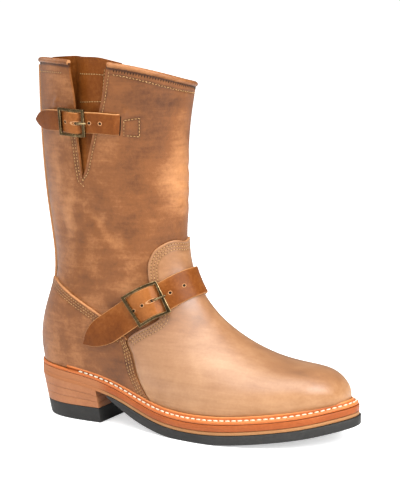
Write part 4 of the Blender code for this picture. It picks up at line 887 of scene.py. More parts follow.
# Partly the leather's own uneven tone, partly painted light and shade: a painted highlight down the front of the shaft
# and on the vamp's outer side, painted shade on the toe and painted shadow close under the instep strap.
toneSpots = (  # centre as (row, around), radius in millimetres, lighter or darker
    ((20.5, 0.33), 34.0, -0.12), ((18.9, 0.36), 26.0, -0.14), ((22.3, 0.40), 30.0, 0.06),
    # (17.2, 0.465) is a painted highlight down the front of the shaft.
    ((17.2, 0.465), 34.0, 0.26), ((21.8, 0.49), 22.0, 0.10), ((18.6, 0.225), 15.0, -0.18), ((17.9, 0.26), 12.0, -0.14),
    ((16.5, 0.38), 16.0, -0.08), ((16.6, 0.22), 20.0, 0.08), ((20.6, 0.24), 18.0, 0.10), ((15.2, 0.12), 26.0, -0.06),
    ((15.6, 0.325), 10.0, -0.22), ((14.2, 0.29), 12.0, -0.12), ((22.0, 0.36), 26.0, -0.10), ((9.8, 0.10), 14.0, -0.16),
    ((12.6, 0.19), 10.0, 0.12), ((11.6, 0.06), 16.0, -0.08), ((11.2, 0.40), 20.0, -0.22), ((11.2, 0.60), 20.0, -0.22),
    # (7.0, 0.24) is a painted highlight on the vamp's outer side; (8.3, 0.385) is a painted shadow under the instep
    # strap.
    ((7.0, 0.24), 46.0, 0.22), ((4.6, 0.30), 34.0, 0.06), ((8.3, 0.385), 9.0, -0.30), ((7.2, 0.41), 14.0, -0.14),
    ((2.0, 0.30), 14.0, 0.10), ((22.8, 0.10), 24.0, -0.14),
    ((20.4, 0.09), 28.0, -0.12), ((18.4, 0.15), 16.0, -0.16), ((12.6, 0.05), 18.0, 0.10), ((14.8, 0.06), 14.0, -0.06),
    ((17.9, 0.37), 16.0, -0.10), ((20.5, 0.425), 18.0, -0.10), ((22.7, 0.43), 18.0, -0.08), ((15.3, 0.485), 16.0, 0.10),
    ((16.5, 0.225), 12.0, 0.10), ((15.3, 0.31), 12.0, 0.10), ((19.4, 0.125), 12.0, 0.10), ((11.2, 0.05), 16.0, 0.24),
    ((12.1, 0.155), 10.0, 0.14), ((8.9, 0.16), 20.0, 0.16), ((23.3, 0.33), 18.0, -0.16), ((23.2, 0.39), 20.0, -0.20),
    # (2.6, 0.40) is painted shade on the toe.
    ((23.2, 0.45), 18.0, -0.12), ((2.6, 0.40), 24.0, -0.10),
    ((21.0, 0.62), 36.0, -0.12), ((19.0, 0.70), 40.0, 0.14), ((16.5, 0.80), 34.0, -0.10), ((6.5, 0.75), 42.0, 0.16),
)


toneStreaks = (  # pulled leather, with one painted shadow: line of (row, around), width, lighter or darker
    (((19.9, 0.180), (19.0, 0.220), (17.65, 0.255), (16.2, 0.288), (14.9, 0.315)), 4.2, 0.26),
    (((17.2, 0.285), (16.0, 0.306), (15.03, 0.325)), 4.5, 0.24),
    (((19.4, 0.250), (18.4, 0.272), (17.2, 0.300)), 6.0, -0.16),
    (((20.2, 0.205), (18.8, 0.170), (17.6, 0.165)), 5.0, 0.16),
    (((19.0, 0.190), (18.2, 0.205), (17.0, 0.220)), 4.0, -0.14),
    (((22.4, 0.335), (21.0, 0.300), (20.0, 0.290)), 8.0, 0.10),
    (((21.0, 0.420), (19.6, 0.400), (18.6, 0.395)), 7.0, -0.10),
    # painted shadow along the lower edge of the instep strap
    (((9.55, 0.24), (9.0, 0.323), (8.95, 0.385), (8.9, 0.43)), 6.0, -0.30),
    (((16.6, 0.350), (15.6, 0.370), (14.8, 0.390)), 5.0, 0.14),
    (((4.4, 0.390), (3.7, 0.378), (3.0, 0.350)), 4.0, -0.24),
    (((4.0, 0.400), (3.47, 0.408), (2.98, 0.425)), 3.0, -0.12),
    (((7.6, 0.260), (6.2, 0.297), (4.86, 0.323), (3.37, 0.320)), 5.0, 0.07),
    (((6.6, 0.340), (5.9, 0.335), (5.2, 0.340)), 3.6, -0.10),
    (((8.6, 0.300), (7.2, 0.330), (6.0, 0.370)), 5.0, -0.06),
    (((5.0, 0.180), (4.0, 0.190), (3.0, 0.200)), 4.0, -0.06),
)


def toneAt(points):
    total = -creaseHeight(points, toneStreaks)
    for (u, v), reach, amount in toneSpots:
        gap = np.linalg.norm(points - upperBase(u, v), axis=-1)
        total += amount * np.exp(-(gap / reach) ** 2)
    return total


def riseAt(v):  # upward direction of the collar's rim
    row = np.full(np.shape(v), float(collarRow))
    return unit(upperBase(row, v) - upperBase(row - 0.05, v))


def spread(spans):
    rows = [np.linspace(a, b, count + 1)[:-1] for a, b, count in spans]
    return np.append(np.concatenate(rows), spans[-1][1])


def makeUpper():
    rows = spread(upperLook["rows"])
    nearCount, farCount = upperLook["columns"]
    opened = np.maximum(rows, slitLook["tip"])
    near = slitBack(opened)[:, None] * np.linspace(0, 1, nearCount + 1) ** 1.25
    edge = slitFront(opened)[:, None]
    far = edge + (1 - edge) * np.linspace(0, 1, farCount + 1)
    v = np.concatenate([near, far], 1)
    u = np.repeat(rows[:, None], v.shape[1], 1)
    base = upperBase(u, v)
    sink, shade = rowRelief(base, seamRows["shaft"] + seamRows["collar"])
    points = upperPoint(u, v, creaseHeight(base, upperLook["creases"]) - sink)
    points[-1] += riseAt(v[-1]) * upperLook["intoRoll"]
    # painted shadow close under the collar's roll and beside the back strip, taken off the tone
    reach, dark = upperLook["shadeUnderRoll"]
    shade += dark * softStep((u - collarRow + reach) / (0.5 * reach))
    place, wide, dark, first = upperLook["shadeBesideStrip"]
    fromSeam = np.abs(v - seamPlace(u)) * bootShape["shaftRound"]
    shade += dark * np.exp(-((fromSeam - place) / wide) ** 2) * softStep((u - first) / 0.2)
    piece = layGrid("shaft", points)
    paintPoints(piece, "tone", toneAt(points) - shade)
    columns = v.shape[1] - 1
    dropFaces(piece, [i * columns + nearCount for i in range(len(rows) - 1) if rows[i] >= slitLook["tip"] - 1e-6])
    closeSeams(piece)
    giveWall(piece, upperLook["wall"], inner=1, rim=2)
    finishPiece(piece, (leather["shaftLeather"], leather["lining"], leather["rawEdge"]), ("upper",), 60)


makeUpper()


def makeVamp():
    around = np.append(np.linspace(0, 1, overlayLook["vampColumns"] + 1), overlayLook["vampCorners"])
    around = np.unique(np.round(around, 5))
    sharedRows, freeRows = overlayLook["vampRows"]
    start = overlayLook["vampShared"]
    end = vampEnd(around)
    pace = np.linalg.norm(upperBase(end, around) - upperBase(end - 0.2, around), axis=1) / 0.2  # mm for each row
    outer, inner, width = overlayLook["vampSeam"]
    seam = np.maximum(softStep((outer - around) / width), softStep((around - inner) / width))
    first = np.linspace(0, start, sharedRows + 1)[:, None] + 0 * around
    lip = overlayLook["lip"]
    inner = end - lip[0][0] / pace
    share = 1 - (1 - np.linspace(0, 1, freeRows + 1)[1:, None]) ** 1.8  # closer together at the edge
    second = start + share * (inner - start)
    third = np.array([end - inset / pace for inset, share in lip[1:]])
    u = np.concatenate([first, second, third])
    v = np.repeat(around[None, :], len(u), 0)
    reach, drop = overlayLook["skive"]
    height = overlayTop - drop * seam * softStep(1 - (end - u) * pace / reach)
    count = len(lip) - 1
    shares = np.array([share for inset, share in lip[1:]])[:, None]
    height[-count:] *= shares
    low = 0.004 * (1 + 2 * np.clip(1 - u / 2, 0, 1))
    v = np.clip(v, low, 1 - low)
    sink, shade = rowRelief(upperBase(u, v), seamRows["vamp"])
    points = upperPoint(u, v, height - sink)
    piece = layGrid("vampPanel", points)
    raw = np.zeros(u.shape)
    raw[-count + 1:] = 1.0
    paintPoints(piece, "edge", raw * (1 - seam))
    above = points[..., 2] - featherSeat(points[..., 0])
    low, high, lighter = overlayLook["sheen"]
    tab, less = overlayLook["tabSheen"]
    shine = softStep((above - low) / (high - low)) * (1 - less * softStep(u - tab))
    paintPoints(piece, "sheen", shine)
    # Painted light: the tone is lighter where the coat shines less, on the lowest band and on the tab; the rows get
    # painted shade.
    paintPoints(piece, "tone", toneAt(points) - shade + lighter * (1 - shine))
    closeSeams(piece)
    finishPiece(piece, (leather["vampLeather"],), ("vamp",), 60)


def makeCounter():
    halves = []
    lip = overlayLook["lip"]
    insets = np.array([inset for inset, share in lip])
    shares = np.array([share for inset, share in lip])
    for side in ("outer", "inner"):
        s = np.linspace(0, 1, overlayLook["counterColumns"] + 1)[1:] ** 1.5
        t = 1 - (1 - np.linspace(0, 1, overlayLook["counterRows"] + 1)[:-1]) ** 1.8
        s = np.concatenate([(insets[::-1] - overlayLook["overlap"]) / overlayLook["counterLong"], s])
        tall = counterTall(side, s)
        rows = [np.minimum(t[:, None], 1 - 1.2 / tall[None, :]), 1 - insets[:, None] / tall[None, :]]
        tt = np.concatenate(rows)
        ss = np.repeat(s[None, :], len(tt), 0)
        u, v = counterGrid(side, ss, tt)
        bulge = softStep((ss - 0.35) / 0.4) * np.sin(math.pi * np.clip(tt, 0, 1))
        height = counterHeight + overlayLook["heelBulge"] * bulge
        raw = np.zeros(u.shape)
        seamEdgeShade = np.zeros(u.shape)
        for k, share in enumerate(shares):
            column = len(shares) - 1 - k
            row = len(t) + k
            floor = 0.9 / counterHeight
            height[:, column] = np.minimum(height[:, column], counterHeight * max(share, floor if k < 5 else 0.3))
            height[row] = np.minimum(height[row], counterHeight * share)
            # painted shade down the counter's edge at the seam with the vamp
            if k > 1:
                seamEdgeShade[:, column] = overlayLook["seamShade"]
                raw[row] = 1.0
        low = 0.004 * np.clip((heelRow - 0.6 - u) * 2, 0, 1)
        v = np.clip(v, low, 1 - low)
        sink, shade = rowRelief(upperBase(u, v), seamRows["counter"])
        points = upperPoint(u, v, height - sink)
        points[0, :, 2] -= overlayLook["heelTuck"] * softStep((overlayLook["tuckEnd"] - points[0, :, 0]) / 6.0)
        order = slice(None, None, -1) if side == "outer" else slice(None)
        piece = layGrid("counterPanel" if side == "outer" else "counterInner", points[:, order])
        paintPoints(piece, "edge", raw[:, order])
        paintPoints(piece, "tone", (toneAt(points) - shade - seamEdgeShade)[:, order])
        halves.append(piece)
    piece = joinPieces(halves)
    closeSeams(piece, 0.0001)
    finishPiece(piece, (leather["shaftLeather"],), ("counter",), 60)


makeVamp()
makeCounter()

backSeamLook = {"rows": (17.28, 23.96, 80), "half": 2.5, "tone": 0.4,
                "profile": ((1.0, 0.0), (1.0, 0.9), (0.92, 1.35), (0.75, 1.6), (0.35, 1.95), (0.0, 2.15))}


def makeBackSeam():
    first, last, count = backSeamLook["rows"]
    rows = np.linspace(first, last, count + 1)
    outer = backSeamLook["profile"]
    shares = np.array([p[0] for p in outer] + [-p[0] for p in outer[::-1][1:]])
    height = np.array([p[1] for p in outer] + [p[1] for p in outer[::-1][1:]])
    v = seamPlace(rows)[:, None] - shares * backSeamLook["half"] / bootShape["shaftRound"]
    u = np.repeat(rows[:, None], v.shape[1], 1)
    points = upperPoint(u, v, np.repeat(height[None, :], len(rows), 0))
    piece = layGrid("backStrip", points)
    raw = np.repeat(np.where(np.abs(shares) > 0.9, 1.0, 0.0)[None, :], len(rows), 0)
    paintPoints(piece, "edge", raw)
    paintPoints(piece, "tone", toneAt(points) + backSeamLook["tone"])
    finishPiece(piece, (leather["shaftLeather"],), ("back_seam",), 60)


makeBackSeam()

gussetLook = {"below": 0.25, "above": 0.24, "laps": (0.06, 0.03), "clear": 0.8, "fold": (11.0, 0.30), "thick": 1.4,
              "rows": 48, "columns": 42, "sewn": (23.62, 22.50), "side": (0.38, 0.79), "rowTall": 22.0, "bow": 0.3,
              "tone": 0.02}


def gussetPoint(rows, share, lift=0.0):  # deepest just behind the back panel's edge, close to the wall at both laps
    rows, share = np.broadcast_arrays(np.asarray(rows, float), np.asarray(share, float))
    inside = np.clip(rows, slitLook["tip"], collarRow)
    start = slitBack(inside) - gussetLook["laps"][0]
    v = start + (slitFront(inside) + gussetLook["laps"][1] - start) * share
    opened = np.clip((rows - slitLook["tip"]) / (collarRow - slitLook["tip"]), 0, 1) ** 0.7
    deep, turn = gussetLook["fold"]
    fold = deep * opened * softStep(share / turn) * np.minimum((1 - share) / (1 - turn), 1) ** 1.6
    depth = upperLook["wall"] + gussetLook["clear"] + fold
    rim = upperPoint(np.minimum(rows, collarRow), v, lift - depth)
    ripple = 1 + gussetLook["bow"] * np.sin(math.pi * share)  # the top edge bows up a little
    return rim + riseAt(v) * (np.maximum(rows - collarRow, 0) * gussetLook["rowTall"] * ripple)[..., None]


def makeGusset():
    rows = np.linspace(slitLook["tip"] - gussetLook["below"], collarRow + gussetLook["above"], gussetLook["rows"] + 1)
    points = gussetPoint(rows[:, None], np.linspace(0, 1, gussetLook["columns"] + 1)[None, :])
    piece = layGrid("gussetPanel", points)
    paintPoints(piece, "tone", toneAt(points) + gussetLook["tone"])
    giveWall(piece, gussetLook["thick"], inner=1, rim=2)
    finishPiece(piece, (leather["strapLeather"], leather["lining"], leather["rawEdge"]), ("gusset",), 60)


makeGusset()

bindingLook = {"wide": 2.7, "tall": 2.4, "sides": 18, "steps": 300, "end": 0.002, "pucker": 0.05, "pitch": 5.2,
               "joint": (0.30, 1.2), "tone": (0.05, 0.5)}  # pinch and reach; tone of the roll, darker at the joint


def roundCollar(count, end):  # places around, from the slit's front edge to its back edge
    at = np.linspace(slitFront(collarRow) + end, 1 + slitBack(collarRow) - end, count)
    return np.where(at > 1, at - 1, at)


def collarLine(count, end):  # points of the rim with its upward and outward directions
    v = roundCollar(count, end)
    row = np.full(len(v), float(collarRow))
    rim = upperPoint(row, v, np.full(len(v), -upperLook["wall"] / 2))
    return rim, riseAt(v), upperNormal(row, v), v


def makeBinding():
    rim, rise, out, v = collarLine(bindingLook["steps"] + 1, bindingLook["end"])
    length = lengthAlong(rim)
    turn = np.linspace(0, 2 * math.pi, bindingLook["sides"] + 1)
    pucker = 1 - bindingLook["pucker"] * np.abs(np.cos(math.pi * length / bindingLook["pitch"])) ** 6
    middle = rim + rise * (bootShape["gap"] + bindingLook["tall"])
    pinch, reach = bindingLook["joint"]  # the two ends of the roll meet at the back seam
    seamAt = np.interp(1.0 + seamPlace(collarRow), np.where(v < slitBack(collarRow), v + 1, v), length)
    joint = np.exp(-((length - seamAt) / reach) ** 2)
    shape = (pucker * (1 - pinch * joint))[:, None, None]
    rings = (middle[:, None] + out[:, None] * (np.cos(turn) * bindingLook["wide"])[None, :, None] * shape
             + rise[:, None] * (np.sin(turn) * bindingLook["tall"])[None, :, None] * shape)
    first = np.repeat(middle[:1, None], len(turn), 1)
    last = np.repeat(middle[-1:, None], len(turn), 1)
    rings = np.concatenate([first, first + (rings[:1] - first) * 0.9, rings, last + (rings[-1:] - last) * 0.9, last])
    piece = layGrid("collarRoll", rings[:, ::-1])
    edge = np.zeros(rings.shape[:2])
    edge[:2] = edge[-2:] = 1.0
    paintPoints(piece, "edge", edge)
    level, darker = bindingLook["tone"]
    shade = np.pad(level - darker * joint, 2, mode="edge")
    paintPoints(piece, "tone", np.repeat(shade[:, None], rings.shape[1], 1))
    closeSeams(piece, recalc=True)
    finishPiece(piece, (leather["shaftLeather"],), ("collar_binding",), 60)


makeBinding()

tapeLook = {"tall": 0.62, "clear": 0.034, "depth": 2.8, "rib": 0.5, "pitch": 2.3, "thick": 0.45, "steps": 840,
            "rows": 7}


def makeTape():  # ribbed tape round the inside of the collar
    v = roundCollar(tapeLook["steps"] + 1, tapeLook["clear"])
    rows = np.linspace(collarRow - tapeLook["tall"], collarRow, tapeLook["rows"] + 1)
    rim = upperBase(np.full(len(v), float(collarRow)), v)
    length = lengthAlong(rim)
    rib = np.abs(np.sin(math.pi * length / tapeLook["pitch"]))
    u = np.repeat(rows[:, None], len(v), 1)
    depth = np.repeat((tapeLook["depth"] + tapeLook["rib"] * rib)[None, :], len(rows), 0)
    points = upperPoint(u, np.repeat(v[None, :], len(rows), 0), -depth)
    piece = layGrid("collarTape", points[:, ::-1])
    # painted light and shade: the crests of the ribs lighter than the hollows
    paintPoints(piece, "tone", np.repeat((0.45 * rib)[None, ::-1], len(rows), 0))
    giveWall(piece, tapeLook["thick"])
    finishPiece(piece, (leather["lining"],), (), 60)


makeTape()

# Straps: a strip over the upper with a pointed free tip, a short piece that holds the buckle, and the buckle.
strapLooks = {
    "instep": {"path": ((11.60, 0.113), (11.26, 0.173), (10.91, 0.220), (10.46, 0.288), (10.12, 0.330),
                        (9.87, 0.393), (9.66, 0.500), (9.87, 0.607), (10.12, 0.670), (10.46, 0.712),
                        (10.91, 0.780), (11.26, 0.827)), "buckleAt": 3.0, "half": 13.0, "halfFrame": 13.4,
               "base": 2.9, "tip": 31.0, "tipLift": 0.8, "tipFall": 14.0, "chapeEnd": -38.0, "chapeInset": 1.0,
               "steps": 170, "holes": (-12.0, -3.5, 20.5, 33.0), "bulge": 1.6, "dip": 0.0, "bar": 2.5},
    "collar": {"path": ((22.07, 0.098), (21.97, 0.190), (21.87, 0.225), (21.77, 0.258), (21.67, 0.290),
                        (21.52, 0.326)), "buckleAt": 2.0, "half": 9.0, "halfFrame": 10.8, "base": 0.5,
               "tip": 21.0, "tipLift": 4.2, "tipFall": 20.0, "chapeEnd": -21.0, "chapeInset": -0.2, "steps": 110,
               "holes": (-5.6, 5.0, 15.4, 25.0), "bulge": 1.2, "dip": 4.6, "bar": 2.2},
}
strapLook = {"thick": 2.6, "chape": 1.8, "barLift": 3.2, "barSide": 3.0, "along": 160, "across": 10,
             "margin": 7.0, "barRadius": 1.1, "frameThick": 1.2, "frameTall": 1.4,
             # barTone is a painted highlight where the strap bulges over the bar, tipTone a painted shade toward the
             # free tip
             "barTone": 0.40, "tipTone": 0.14, "chapeTone": 0.05,  # lighter over the bar, darker at the tip
             "sewnEnd": (2.5, 13.0, 26.0, 10.0)}  # box of stitches: three places from the end, half width


def strapPath(path, buckleAt, reach):  # place along from the buckle, place across, height off the surface
    knots = np.arange(len(path))
    row = cubicCurve(knots, [p[0] for p in path])
    around = cubicCurve(knots, [p[1] for p in path])
    fine = np.linspace(0, len(path) - 1, strapLook["along"] + 1)
    line = upperBase(row(fine), around(fine))
    length = lengthAlong(line)
    middle = np.interp(buckleAt, fine, length)
    alongs = np.linspace(-middle, length[-1] - middle, strapLook["along"] + 1)
    at = np.interp(alongs + middle, length, fine)
    count = strapLook["across"]
    acrosses = np.linspace(-reach, reach, 2 * count + 1)
    rows = np.zeros((len(alongs), len(acrosses)))
    places = np.zeros_like(rows)
    u0, v0 = row(at), around(at)
    heading = unit(np.gradient(upperBase(u0, v0), axis=0))
    sideways = np.cross(upperNormal(u0, v0), heading)
    step = acrosses[1] - acrosses[0]
    for sign in (1, -1):
        u, v, side = u0.copy(), v0.copy(), sideways * sign
        rows[:, count], places[:, count] = u, v
        for k in range(1, count + 1):
            moveU, moveV = surfaceStep(u, v, side)
            u, v = u + step * moveU, v + step * moveV
            normal = upperNormal(u, v)
            side = unit(side - (side * normal).sum(1)[:, None] * normal)
            rows[:, count + sign * k], places[:, count + sign * k] = u, v

    def point(along, across, height):
        along, across, height = np.broadcast_arrays(*(np.asarray(x, float) for x in (along, across, height)))
        last = np.array(rows.shape) - 1.001
        a = np.clip((along - alongs[0]) / (alongs[1] - alongs[0]), 0, last[0])
        b = np.clip((across - acrosses[0]) / step, 0, last[1])
        i, j = a.astype(int), b.astype(int)
        p, q = a - i, b - j

        def blend(grid):
            near = grid[i, j] * (1 - p) + grid[i + 1, j] * p
            far = grid[i, j + 1] * (1 - p) + grid[i + 1, j + 1] * p
            return near * (1 - q) + far * q

        return upperPoint(blend(rows), blend(places), height)

    return point, alongs[0], alongs[-1]


def strapUnderside(look, start, end):
    base, halfFrame = look["base"], look["halfFrame"]
    chape = base + strapLook["chape"] + bootShape["gap"]
    over = base + strapLook["barLift"]
    side = strapLook["barSide"]
    return steadyCurve(((start, base + look["tipLift"]), (start + look["tipFall"], chape),
                        (-halfFrame - 1.5, chape), (-side * 1.6, over + 0.5 * look["bulge"]),
                        (0.0, over + look["bulge"]), (side * 1.6, over + 0.7 * look["bulge"]),
                        (halfFrame - 1.0, base), (end - 7.0, base), (end, base - look["dip"])))


def bandSection(half, thick):  # closed section of a strap: across, height, and how raw the spot is
    rounding = min(0.45 * half, 0.9)
    side = [(half - rounding, thick, 0), (half - 0.45 * rounding, thick * 0.955, 0.2),
            (half - 0.1 * rounding, thick * 0.83, 0.8), (half, thick * 0.62, 1), (half, thick * 0.25, 1),
            (half - 0.3 * rounding, 0.0, 0.6)]
    top = [(half * x, thick * (1.0 + 0.05 * (1 - x * x)), 0) for x in (-0.75, -0.5, -0.25, 0, 0.25, 0.5, 0.75)]
    left = [(-x, h, raw) for x, h, raw in side][::-1]
    low = [(half * 0.6, 0.0, 0), (0.0, 0.0, 0), (-half * 0.6, 0.0, 0)]
    ring = left + top + side + low
    return np.array(ring + ring[:1])


def layBand(name, point, alongs, widths, underside, thick):
    rings = [bandSection(max(width, 0.25), thick) for width in widths]
    low = underside(alongs)
    grid = np.array([point(a, ring[:, 0], h + ring[:, 1]) for a, ring, h in zip(alongs, rings, low)])
    grid = capEnds(grid)
    raw = np.array([ring[:, 2] for ring in rings])
    raw = np.concatenate([np.ones((1, raw.shape[1])), raw, np.ones((1, raw.shape[1]))])
    piece = layGrid(name, grid)
    paintPoints(piece, "edge", raw)
    return piece, grid


def frameHeight(along, look):
    front = look["base"] + strapLook["thick"] + bootShape["gap"] + strapLook["frameTall"]
    back = front + strapLook["chape"] + bootShape["gap"]
    return (front + back) / 2 - (back - front) / 2 * along / look["halfFrame"]


def makeStrap(name, look):
    point, start, end = strapPath(look["path"], look["buckleAt"], look["half"] + strapLook["margin"])
    underside = strapUnderside(look, start, end)
    half, tip = look["half"], look["tip"]
    alongs = np.linspace(start, end, look["steps"] + 1)
    alongs = np.unique(np.append(alongs, start + tip * np.linspace(0, 1, 24) ** 2))
    arc = (tip ** 2 + half ** 2) / (2 * half)
    ahead = np.clip(start + tip - alongs, 0, tip)
    widths = np.sqrt(arc ** 2 - ahead ** 2) - arc + half
    piece, grid = layBand(name + "Strap", point, alongs, widths, underside, strapLook["thick"])
    # painted highlight over the buckle's bar and painted shade toward the tip, added to the tone
    wearAndPaintedLight = strapLook["barTone"] * np.exp(-(alongs / half) ** 2)
    wearAndPaintedLight -= strapLook["tipTone"] * softStep((start + 1.8 * tip - alongs) / tip)
    wearAndPaintedLight = np.pad(wearAndPaintedLight, 1, mode="edge")[:, None]
    paintPoints(piece, "tone", toneAt(grid) * 0.5 + wearAndPaintedLight)
    closeSeams(piece, recalc=True)
    finishPiece(piece, (leather["strapLeather"],), (name + "_strap",), 40)
    alongs = np.linspace(look["chapeEnd"], -strapLook["barRadius"] - 0.7, 24)
    piece, grid = layBand(name + "Chape", point, alongs, np.full(24, half - look["chapeInset"]),
                          lambda a: look["base"] - look["dip"] * softStep((look["chapeEnd"] + 5.0 - a) / 5.0),
                          strapLook["chape"])
    paintPoints(piece, "tone", np.full(grid.shape[:2], strapLook["chapeTone"]))
    closeSeams(piece, recalc=True)
    finishPiece(piece, (leather["strapLeather"],), (name + "_chape",), 40)
    return point, underside, start, end


def layFlat(piece, point, lift):  # a flat part in millimetres is laid along its strap
    flat = np.zeros(len(piece.data.vertices) * 3, np.float32)
    piece.data.vertices.foreach_get("co", flat)
    flat = flat.reshape(-1, 3).astype(float)
    laid = point(flat[:, 0], flat[:, 1], lift(flat[:, 0]) + flat[:, 2])
    piece.data.vertices.foreach_set("co", toBoot(laid).astype(np.float32).ravel())
    piece.data.update()
    return flat


holeLook = {"radius": 1.35, "rim": 0.34, "slot": (5.2, 3.2), "mouth": 0.65}


def makeHoles(name, look, space):  # punched holes with a pressed rim, and the slot of the prong
    point, underside, start, end = space
    pieces = []
    top = strapLook["thick"] * 1.05
    for along in look["holes"] + ("slot",):
        middle, stretch = holeLook["slot"] if along == "slot" else (along, 1.0)
        bpy.ops.object.select_all(action="DESELECT")
        bpy.ops.mesh.primitive_torus_add(major_radius=holeLook["radius"] + 0.15, minor_radius=holeLook["rim"],
                                         major_segments=18, minor_segments=6)
        rim = bpy.context.object
        # the pit is a near-black disc, painted shade inside the hole
        bpy.ops.mesh.primitive_circle_add(vertices=18, radius=holeLook["radius"] + 0.1, fill_type="TRIFAN")
        pit = bpy.context.object
        for piece, lift in ((rim, 0.0), (pit, 0.06)):
            pickOnly(piece)
            bpy.ops.object.mode_set(mode="EDIT")
            bpy.ops.mesh.select_all(action="SELECT")
            bpy.ops.transform.resize(value=(stretch, 1, 0.5))
            bpy.ops.transform.translate(value=(middle, 0, lift + top))
            bpy.ops.object.mode_set(mode="OBJECT")
            layFlat(piece, point, underside)
            piece.data.materials.append(leather["rawEdge"])
            piece.data.materials.append(threadAndShade["holeShade"])
            piece.data.polygons.foreach_set("material_index", np.full(len(piece.data.polygons), int(piece is pit)))
            pieces.append(piece)
    holes = joinPieces(pieces)
    holes.name = holes.data.name = name + "Holes"
    pickOnly(holes)
    bpy.ops.object.shade_smooth()
    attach(holes, "root")
    print("made", holes.name)


# Painted shade: near-black strips stand for the shade inside the slots.
def makeMouths(look, space):  # dark slots where the collar strap and its short end pass into the shaft
    point, underside, start, end = space
    half = look["half"] + 0.7
    across = half * np.sin(np.linspace(-0.5, 0.5, 25) * math.pi)
    wide = holeLook["mouth"] * np.sqrt(np.maximum(1 - (across / half) ** 4, 0))
    pieces = []
    for along in (end - 1.6, look["chapeEnd"] + 1.4):
        grid = point(along + wide[:, None] * np.linspace(-1, 1, 5)[None, :], across[:, None], 0.14)
        pieces.append(layGrid("strapMouths", grid[:, ::-1]))
    finishPiece(joinPieces(pieces), (threadAndShade["holeShade"],), (), 80)


buckleLook = {"tall": 2.5, "bevel": 0.45, "cuts": 7}


def makeBuckle(name, look, point):
    halfWide = look["half"] + 0.5 + strapLook["frameThick"]
    bar = look["bar"]
    bpy.ops.object.select_all(action="DESELECT")
    bpy.ops.mesh.primitive_plane_add(size=2)
    piece = bpy.context.object
    piece.name = piece.data.name = name + "Buckle"
    bpy.ops.object.mode_set(mode="EDIT")
    bpy.ops.mesh.select_all(action="SELECT")
    bpy.ops.transform.resize(value=(look["halfFrame"] + bar / 2, halfWide + bar / 2, 1))
    bpy.ops.mesh.inset(thickness=bar)
    bpy.ops.mesh.delete(type="FACE")
    bpy.ops.mesh.select_all(action="SELECT")
    bpy.ops.transform.translate(value=(0, 0, -buckleLook["tall"] / 2))
    bpy.ops.mesh.extrude_region_move(TRANSFORM_OT_translate={"value": (0, 0, buckleLook["tall"])})
    bpy.ops.mesh.select_all(action="SELECT")
    bpy.ops.mesh.normals_make_consistent(inside=False)
    bpy.ops.object.mode_set(mode="OBJECT")
    bevel = piece.modifiers.new("softEdges", "BEVEL")
    bevel.width = buckleLook["bevel"]
    bevel.segments = 2
    bevel.angle_limit = math.radians(40)
    applyAll(piece)
    bpy.ops.object.mode_set(mode="EDIT")
    bpy.ops.mesh.select_all(action="SELECT")
    bpy.ops.mesh.subdivide(number_cuts=buckleLook["cuts"])
    bpy.ops.object.mode_set(mode="OBJECT")
    flat = layFlat(piece, point, lambda a: frameHeight(a, look))
    beside = np.maximum(np.abs(flat[:, 0]) - look["halfFrame"], np.abs(flat[:, 1]) - halfWide)  # from the bar's middle
    wearAndPaintedLight = softStep((np.abs(beside) / (bar / 2) - 0.55) / 0.4)
    paintPoints(piece, "edge", wearAndPaintedLight * np.clip(flat[:, 2] / buckleLook["tall"] + 0.5, 0, 1))
    bpy.ops.object.select_all(action="DESELECT")
    bpy.ops.mesh.primitive_cylinder_add(vertices=14, radius=strapLook["barRadius"], depth=2 * halfWide,
                                        rotation=(math.pi / 2, 0, 0))
    rod = bpy.context.object
    bpy.ops.object.transform_apply(location=True, rotation=True, scale=True)
    bpy.ops.object.mode_set(mode="EDIT")
    bpy.ops.mesh.select_all(action="SELECT")
    bpy.ops.mesh.subdivide(number_cuts=4)
    bpy.ops.object.mode_set(mode="OBJECT")
    low = look["base"] + strapLook["barLift"] - bootShape["gap"] - strapLook["barRadius"]
    layFlat(rod, point, lambda a: low + 0 * a)
    joinPieces([piece, rod])
    finishPiece(piece, (antiqueBrass,), (name + "_buckle",), 35)
    prongLine = np.array(((0.18, 1.6), (0.33, 3.4), (0.50, 5.6), (0.70, 6.8))) * (look["halfFrame"], 1.0)
    rest = frameHeight(look["halfFrame"], look) + buckleLook["tall"] / 2 + 0.9
    alongs = np.append(prongLine[:, 0], (look["halfFrame"] - 1.0, look["halfFrame"] + 1.6, look["halfFrame"] + 2.6))
    heights = np.append(look["base"] + prongLine[:, 1], (rest, rest - 0.25, rest - 0.9))
    fine = np.linspace(0, len(alongs) - 1, 40)
    a = np.interp(fine, range(len(alongs)), alongs)
    h = cubicCurve(range(len(alongs)), heights)(fine)
    radius = np.interp(fine, (0, 3, len(alongs) - 1), (1.35, 1.2, 0.85))
    turn = np.linspace(0, 2 * math.pi, 13)
    lean = np.arctan2(np.gradient(h), np.gradient(a))
    ring = np.cos(turn)[None, :] * radius[:, None]
    over = np.sin(turn)[None, :] * radius[:, None]
    grid = point(a[:, None] - over * np.sin(lean)[:, None], ring, h[:, None] + over * np.cos(lean)[:, None])
    grid = capEnds(grid)
    pin = layGrid(name + "Prong", grid)
    paintPoints(pin, "edge", np.full(grid.shape[:2], 0.7))
    closeSeams(pin, recalc=True)
    finishPiece(pin, (antiqueBrass,), (name + "_prong",), 40)


strapSpace = {}
for strapName, strapSizes in strapLooks.items():
    strapSpace[strapName] = makeStrap(strapName, strapSizes)
    makeHoles(strapName, strapSizes, strapSpace[strapName])
    makeBuckle(strapName, strapSizes, strapSpace[strapName][0])
makeMouths(strapLooks["collar"], strapSpace["collar"])

